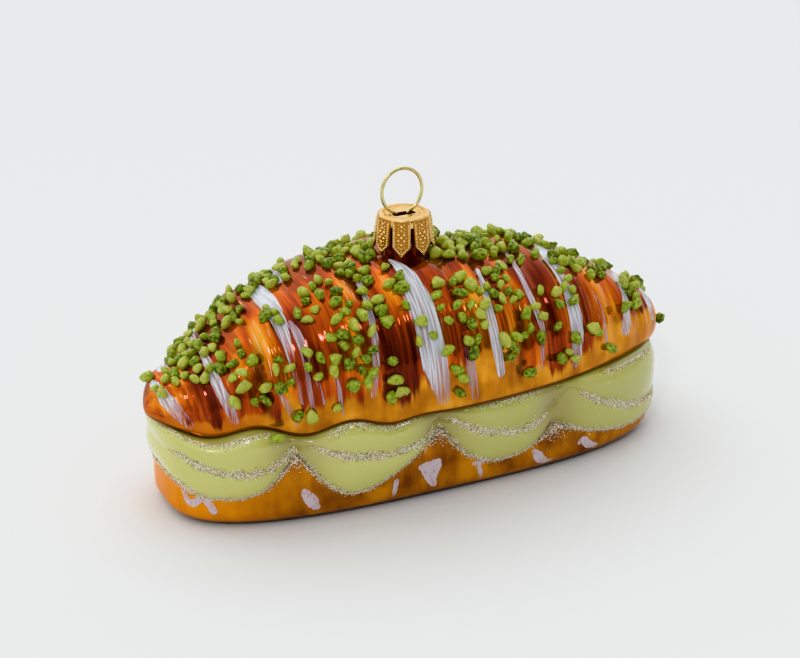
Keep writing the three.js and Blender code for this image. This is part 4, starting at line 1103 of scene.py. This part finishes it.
def makeEnamel():
    # Gloss enamel, dipped: opaque, mirror smooth. Painted shade makes it deeper in tone toward the right
    # end and in the valleys between the lobes, and it is darker under the glitter with glue and painted
    # shade
    material, tree = newMaterial("creamEnamel")
    tones = {"lighterTone": [(0.3, "#c6c46e"), (0.7, "#cfce7a")], "paintedRightShade": "#a3a044", "paintedValleyShade": "#9c8c50",
             "glueAndShade": "#857440"}
    spot = addNode(tree, "ShaderNodeTexCoord")["Object"]
    cloud = addNode(tree, "ShaderNodeTexNoise", {"Vector": spot, "Scale": 60.0, "Detail": 2.0})[0]
    lighterTone = addNode(tree, "ShaderNodeValToRGB", {"Fac": cloud}, stops=tones["lighterTone"])[0]
    place = addNode(tree, "ShaderNodeSeparateXYZ", {0: spot})[0]
    valley, glitter = [addNode(tree, "ShaderNodeAttribute", attribute_name=name)["Fac"]
                       for name in ("valley", "glitter")]
    # Painted shade: deeper in tone toward the right end
    colour = addCoats(tree, lighterTone, (stepAcross(tree, -0.035, 0.02, place, high=0.38), tones["paintedRightShade"]),
                      # painted shade in the valleys between the lobes
                      (weigh(tree, 0.0, (valley, 0.75)), tones["paintedValleyShade"]),
                      # darker under the glitter: the glue, and painted shade
                      (weigh(tree, 0.0, (glitter, 0.6)), tones["glueAndShade"]))
    finishMaterial(tree, {"Base Color": colour, "Roughness": 0.14, "IOR": 1.5, "Coat Weight": 0.7,
                          "Coat Roughness": 0.03})
    return material


def makeMineral():
    # Dyed mineral granules: matt with a faint waxy sheen, mottled olive to lime, dark in the cracks
    material, tree = newMaterial("dyedMineral")
    tones = {"mottled": [(0.38, "#3c4b0c"), (0.52, "#788c20"), (0.66, "#9caf38"), (0.84, "#bcbe58")],
             "crack": "#1f2c08"}
    grain = addNode(tree, "ShaderNodeAttribute", attribute_name="grain")["Vector"]
    tint = addNode(tree, "ShaderNodeAttribute", attribute_name="tint")["Fac"]
    mottle = addNode(tree, "ShaderNodeTexNoise", {
        "Vector": grain, "Scale": 1.6, "Detail": 4.0, "Roughness": 0.6})[0]
    tone = addNode(tree, "ShaderNodeValToRGB", {"Fac": weigh(tree, mottle, (tint, 0.35))},
                   stops=tones["mottled"])[0]
    edge = addNode(tree, "ShaderNodeTexVoronoi", {"Vector": grain, "Scale": 0.5},
                   feature="DISTANCE_TO_EDGE")[0]
    cracked = addNode(tree, "ShaderNodeMapRange", {  # a third of them have split
        "Value": tint, "From Min": 0.3, "From Max": 0.4, "To Min": 0.9, "To Max": 0.2})[0]
    split = addNode(tree, "ShaderNodeMapRange", {
        "Value": mottle, "From Min": 0.56, "From Max": 0.48, "To Max": cracked})[0]
    line = addNode(tree, "ShaderNodeMapRange", {
        "Value": edge, "From Max": 0.07, "To Min": split, "To Max": 0.0})[0]
    depth = weigh(tree, mottle, (line, -0.6))
    bump = addNode(tree, "ShaderNodeBump", {"Height": depth, "Strength": 0.6, "Distance": 0.25 * mm})
    finishMaterial(tree, {"Base Color": addCoats(tree, tone, (line, tones["crack"])), "Roughness": 0.42,
                          "IOR": 1.5, "Normal": bump[0]})
    return material


def makeFlakes():
    # Polyester glitter, vacuum-metallised: bright flakes in silver and champagne, a few copper or dark
    material, tree = newMaterial("metallisedGlitter")
    tint = addNode(tree, "ShaderNodeAttribute", attribute_name="tint")["Fac"]
    tone = addNode(tree, "ShaderNodeValToRGB", {"Fac": tint}, stops=[
        (0.0, "#6e5c38"), (0.1, "#dcc98c"), (0.34, "#f6eec6"), (0.58, "#fffef6"), (0.95, "#deac80")])[0]
    tone.node.color_ramp.interpolation = "CONSTANT"
    finishMaterial(tree, {"Base Color": tone, "Metallic": 0.2, "Roughness": 0.3})
    return material


def makeBrass(name, tones, roughness, recessTarnishAndShade=None):
    # Stamped or drawn brass, lacquered: bright, with softly varying tarnish, darker in the recesses with
    # tarnish and painted shade
    material, tree = newMaterial(name)
    spot = addNode(tree, "ShaderNodeTexCoord")["Object"]
    cloud = addNode(tree, "ShaderNodeTexNoise", {"Vector": spot, "Scale": 900.0, "Detail": 3.0})[0]
    tone = addNode(tree, "ShaderNodeValToRGB", {"Fac": cloud}, stops=[(0.3, tones[0]), (0.7, tones[1])])[0]
    if recessTarnishAndShade:
        polish = addNode(tree, "ShaderNodeAttribute", attribute_name="polish")["Fac"]
        tone = addCoats(tree, recessTarnishAndShade, (polish, tone))
    bump = addNode(tree, "ShaderNodeBump", {"Height": cloud, "Strength": 0.15, "Distance": 0.05 * mm})
    finishMaterial(tree, {"Base Color": tone, "Metallic": 1.0, "Roughness": roughness, "Normal": bump[0]})
    return material


lacquerTop = makeLacquer("amberLacquerTop", forTop=True)
crust, neckPiece = makeTopCrust(), makeNeck()
for piece in (crust, neckPiece):
    piece.data.materials.append(lacquerTop)
print("top crust:", len(crust.data.polygons), "faces")

filling, base = makeCream(), makeBottomCrust()
filling.data.materials.append(makeEnamel())
base.data.materials.append(makeLacquer("amberLacquerBottom", forTop=False))
print("cream and bottom crust:", len(filling.data.polygons), len(base.data.polygons), "faces")

granules = makeGranules(makeMineral())
print("granules:", len(granules.data.polygons), "faces")

glitter = makeGlitter([filling, base], makeFlakes())
print("glitter:", len(glitter.data.polygons), "faces")

goldBrass = makeBrass("stampedBrass", ("#f0c47a", "#ffe0a4"), 0.26, recessTarnishAndShade="#a8702c")
capRim, capPetals = makeCapRim(goldBrass), makePetals(goldBrass)
ringPiece = makeRing(makeBrass("springBrass", ("#cdbd80", "#e0d49a"), 0.2))
print("cap and ring:", len(capRim.data.polygons), len(capPetals.data.polygons), "faces")

for piece, nodes, slot in (
        (crust, ["top_crust"], "amber_glass"), (neckPiece, ["top_crust"], "amber_glass"),
        (granules, ["top_crust"], "granule_green"), (filling, ["cream_filling"], "cream_enamel"),
        (glitter, ["cream_filling"], "glitter"), (base, ["bottom_crust"], "amber_glass"),
        (capRim, ["cap"], "gold_brass"), (capPetals, ["cap"], "gold_brass"),
        (ringPiece, ["ring"], "pale_brass")):
    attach(piece, "root")
    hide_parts(*nodes)

room = {
    "floorHalf": 4.0, "floorColour": "#e8e8e6", "worldColour": "#dfe1e4",
    "horizon": 0.7, "zenith": 1.3,  # how bright the walls and the ceiling are
    "partEdge": (0.6, 1.15),  # from which to which share of its reach a part of the room fades
    "behind": 1.9,  # how many times brighter the far side of the room is
    "behindFrom": (-0.2, 0.7),
    # A part of the room: its middle, its reach each way, and how many times brighter it is
    "litSide": ((-0.82, -0.42, 0.38), (0.45, 0.45, 0.4), 1.6),
    "darkSide": ((0.13, -0.9, 0.3), (0.45, 0.9, 0.55), 0.15),
    # name, place, what it points at, width, height, watts
    "lights": [("frontWindow", (0.18, -0.70, 0.72), (0, 0, 0.03), 0.12, 0.12, 0.4),
               ("sideWindow", (-0.52, -0.62, 0.66), (0, 0, 0.03), 0.07, 0.14, 1.2)],
}
floorCorners = np.array([(-1, -1, 0), (1, -1, 0), (1, 1, 0), (-1, 1, 0)])
floor = addMesh("floor", floorCorners, [(0, 1, 2, 3)], unit=room["floorHalf"])
floorPaint, floorTree = newMaterial("paleFloor")
finishMaterial(floorTree, {"Base Color": room["floorColour"], "Roughness": 0.85, "Specular IOR Level": 0.2})
floor.data.materials.append(floorPaint)
floor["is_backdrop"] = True

world = bpy.data.worlds.new("room")
world.use_nodes = True
sky = world.node_tree
heading = addNode(sky, "ShaderNodeTexCoord")["Generated"]
depth, height = list(addNode(sky, "ShaderNodeSeparateXYZ", {0: heading}))[1:]
walls = addNode(sky, "ShaderNodeMapRange", {
    "Value": height, "To Min": room["horizon"], "To Max": room["zenith"]})


def roomPart(middle, reach, level):  # level in the middle, 1 outside its reach
    offset = addNode(sky, "ShaderNodeVectorMath", {0: heading, 1: middle}, operation="SUBTRACT")
    share = addNode(sky, "ShaderNodeVectorMath", {0: offset[0], 1: reach}, operation="DIVIDE")
    farOff = addNode(sky, "ShaderNodeVectorMath", {0: share[0]}, operation="LENGTH")
    return stepAcross(sky, *room["partEdge"], farOff["Value"], low=level, high=1.0)


bright = stepAcross(sky, *room["behindFrom"], depth, low=1.0, high=room["behind"])
for factor in (walls[0], roomPart(*room["darkSide"]), roomPart(*room["litSide"])):
    bright = addNode(sky, "ShaderNodeMath", {0: bright, 1: factor}, operation="MULTIPLY")[0]
sky.nodes["Background"].inputs[0].default_value = toLinear(room["worldColour"])
sky.links.new(bright, sky.nodes["Background"].inputs[1])
bpy.context.scene.world = world

for label, place, target, width, height, watts in room["lights"]:
    lamp = bpy.data.lights.new(label, "AREA")
    lamp.shape, lamp.size, lamp.size_y, lamp.energy = "RECTANGLE", width, height, watts
    lampObject = bpy.data.objects.new(label, lamp)
    lampObject.location = place
    lampObject.rotation_euler = (Vector(target) - Vector(place)).to_track_quat("-Z", "Y").to_euler()
    bpy.context.scene.collection.objects.link(lampObject)

shot = {"azimuth": -25.5, "elevation": 23.4, "distance": 0.42, "target": (-0.00315, 0, 0.03133),
        "lens": 85.52}
azimuth, elevation = math.radians(shot["azimuth"]), math.radians(shot["elevation"])
back = Vector((math.sin(azimuth) * math.cos(elevation), -math.cos(azimuth) * math.cos(elevation),
               math.sin(elevation)))
camera = bpy.data.cameras.new("camera")
camera.lens, camera.clip_start = shot["lens"], 0.01
cameraObject = bpy.data.objects.new("camera", camera)
cameraObject.location = Vector(shot["target"]) + back * shot["distance"]
cameraObject.rotation_euler = (-back).to_track_quat("-Z", "Y").to_euler()
bpy.context.scene.collection.objects.link(cameraObject)
bpy.context.scene.camera = cameraObject
bpy.context.scene.view_settings.view_transform = "Khronos PBR Neutral"

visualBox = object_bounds()
({"cad": [list(corner) for corner in cadBox],
           "visual": [list(corner) for corner in visualBox]})
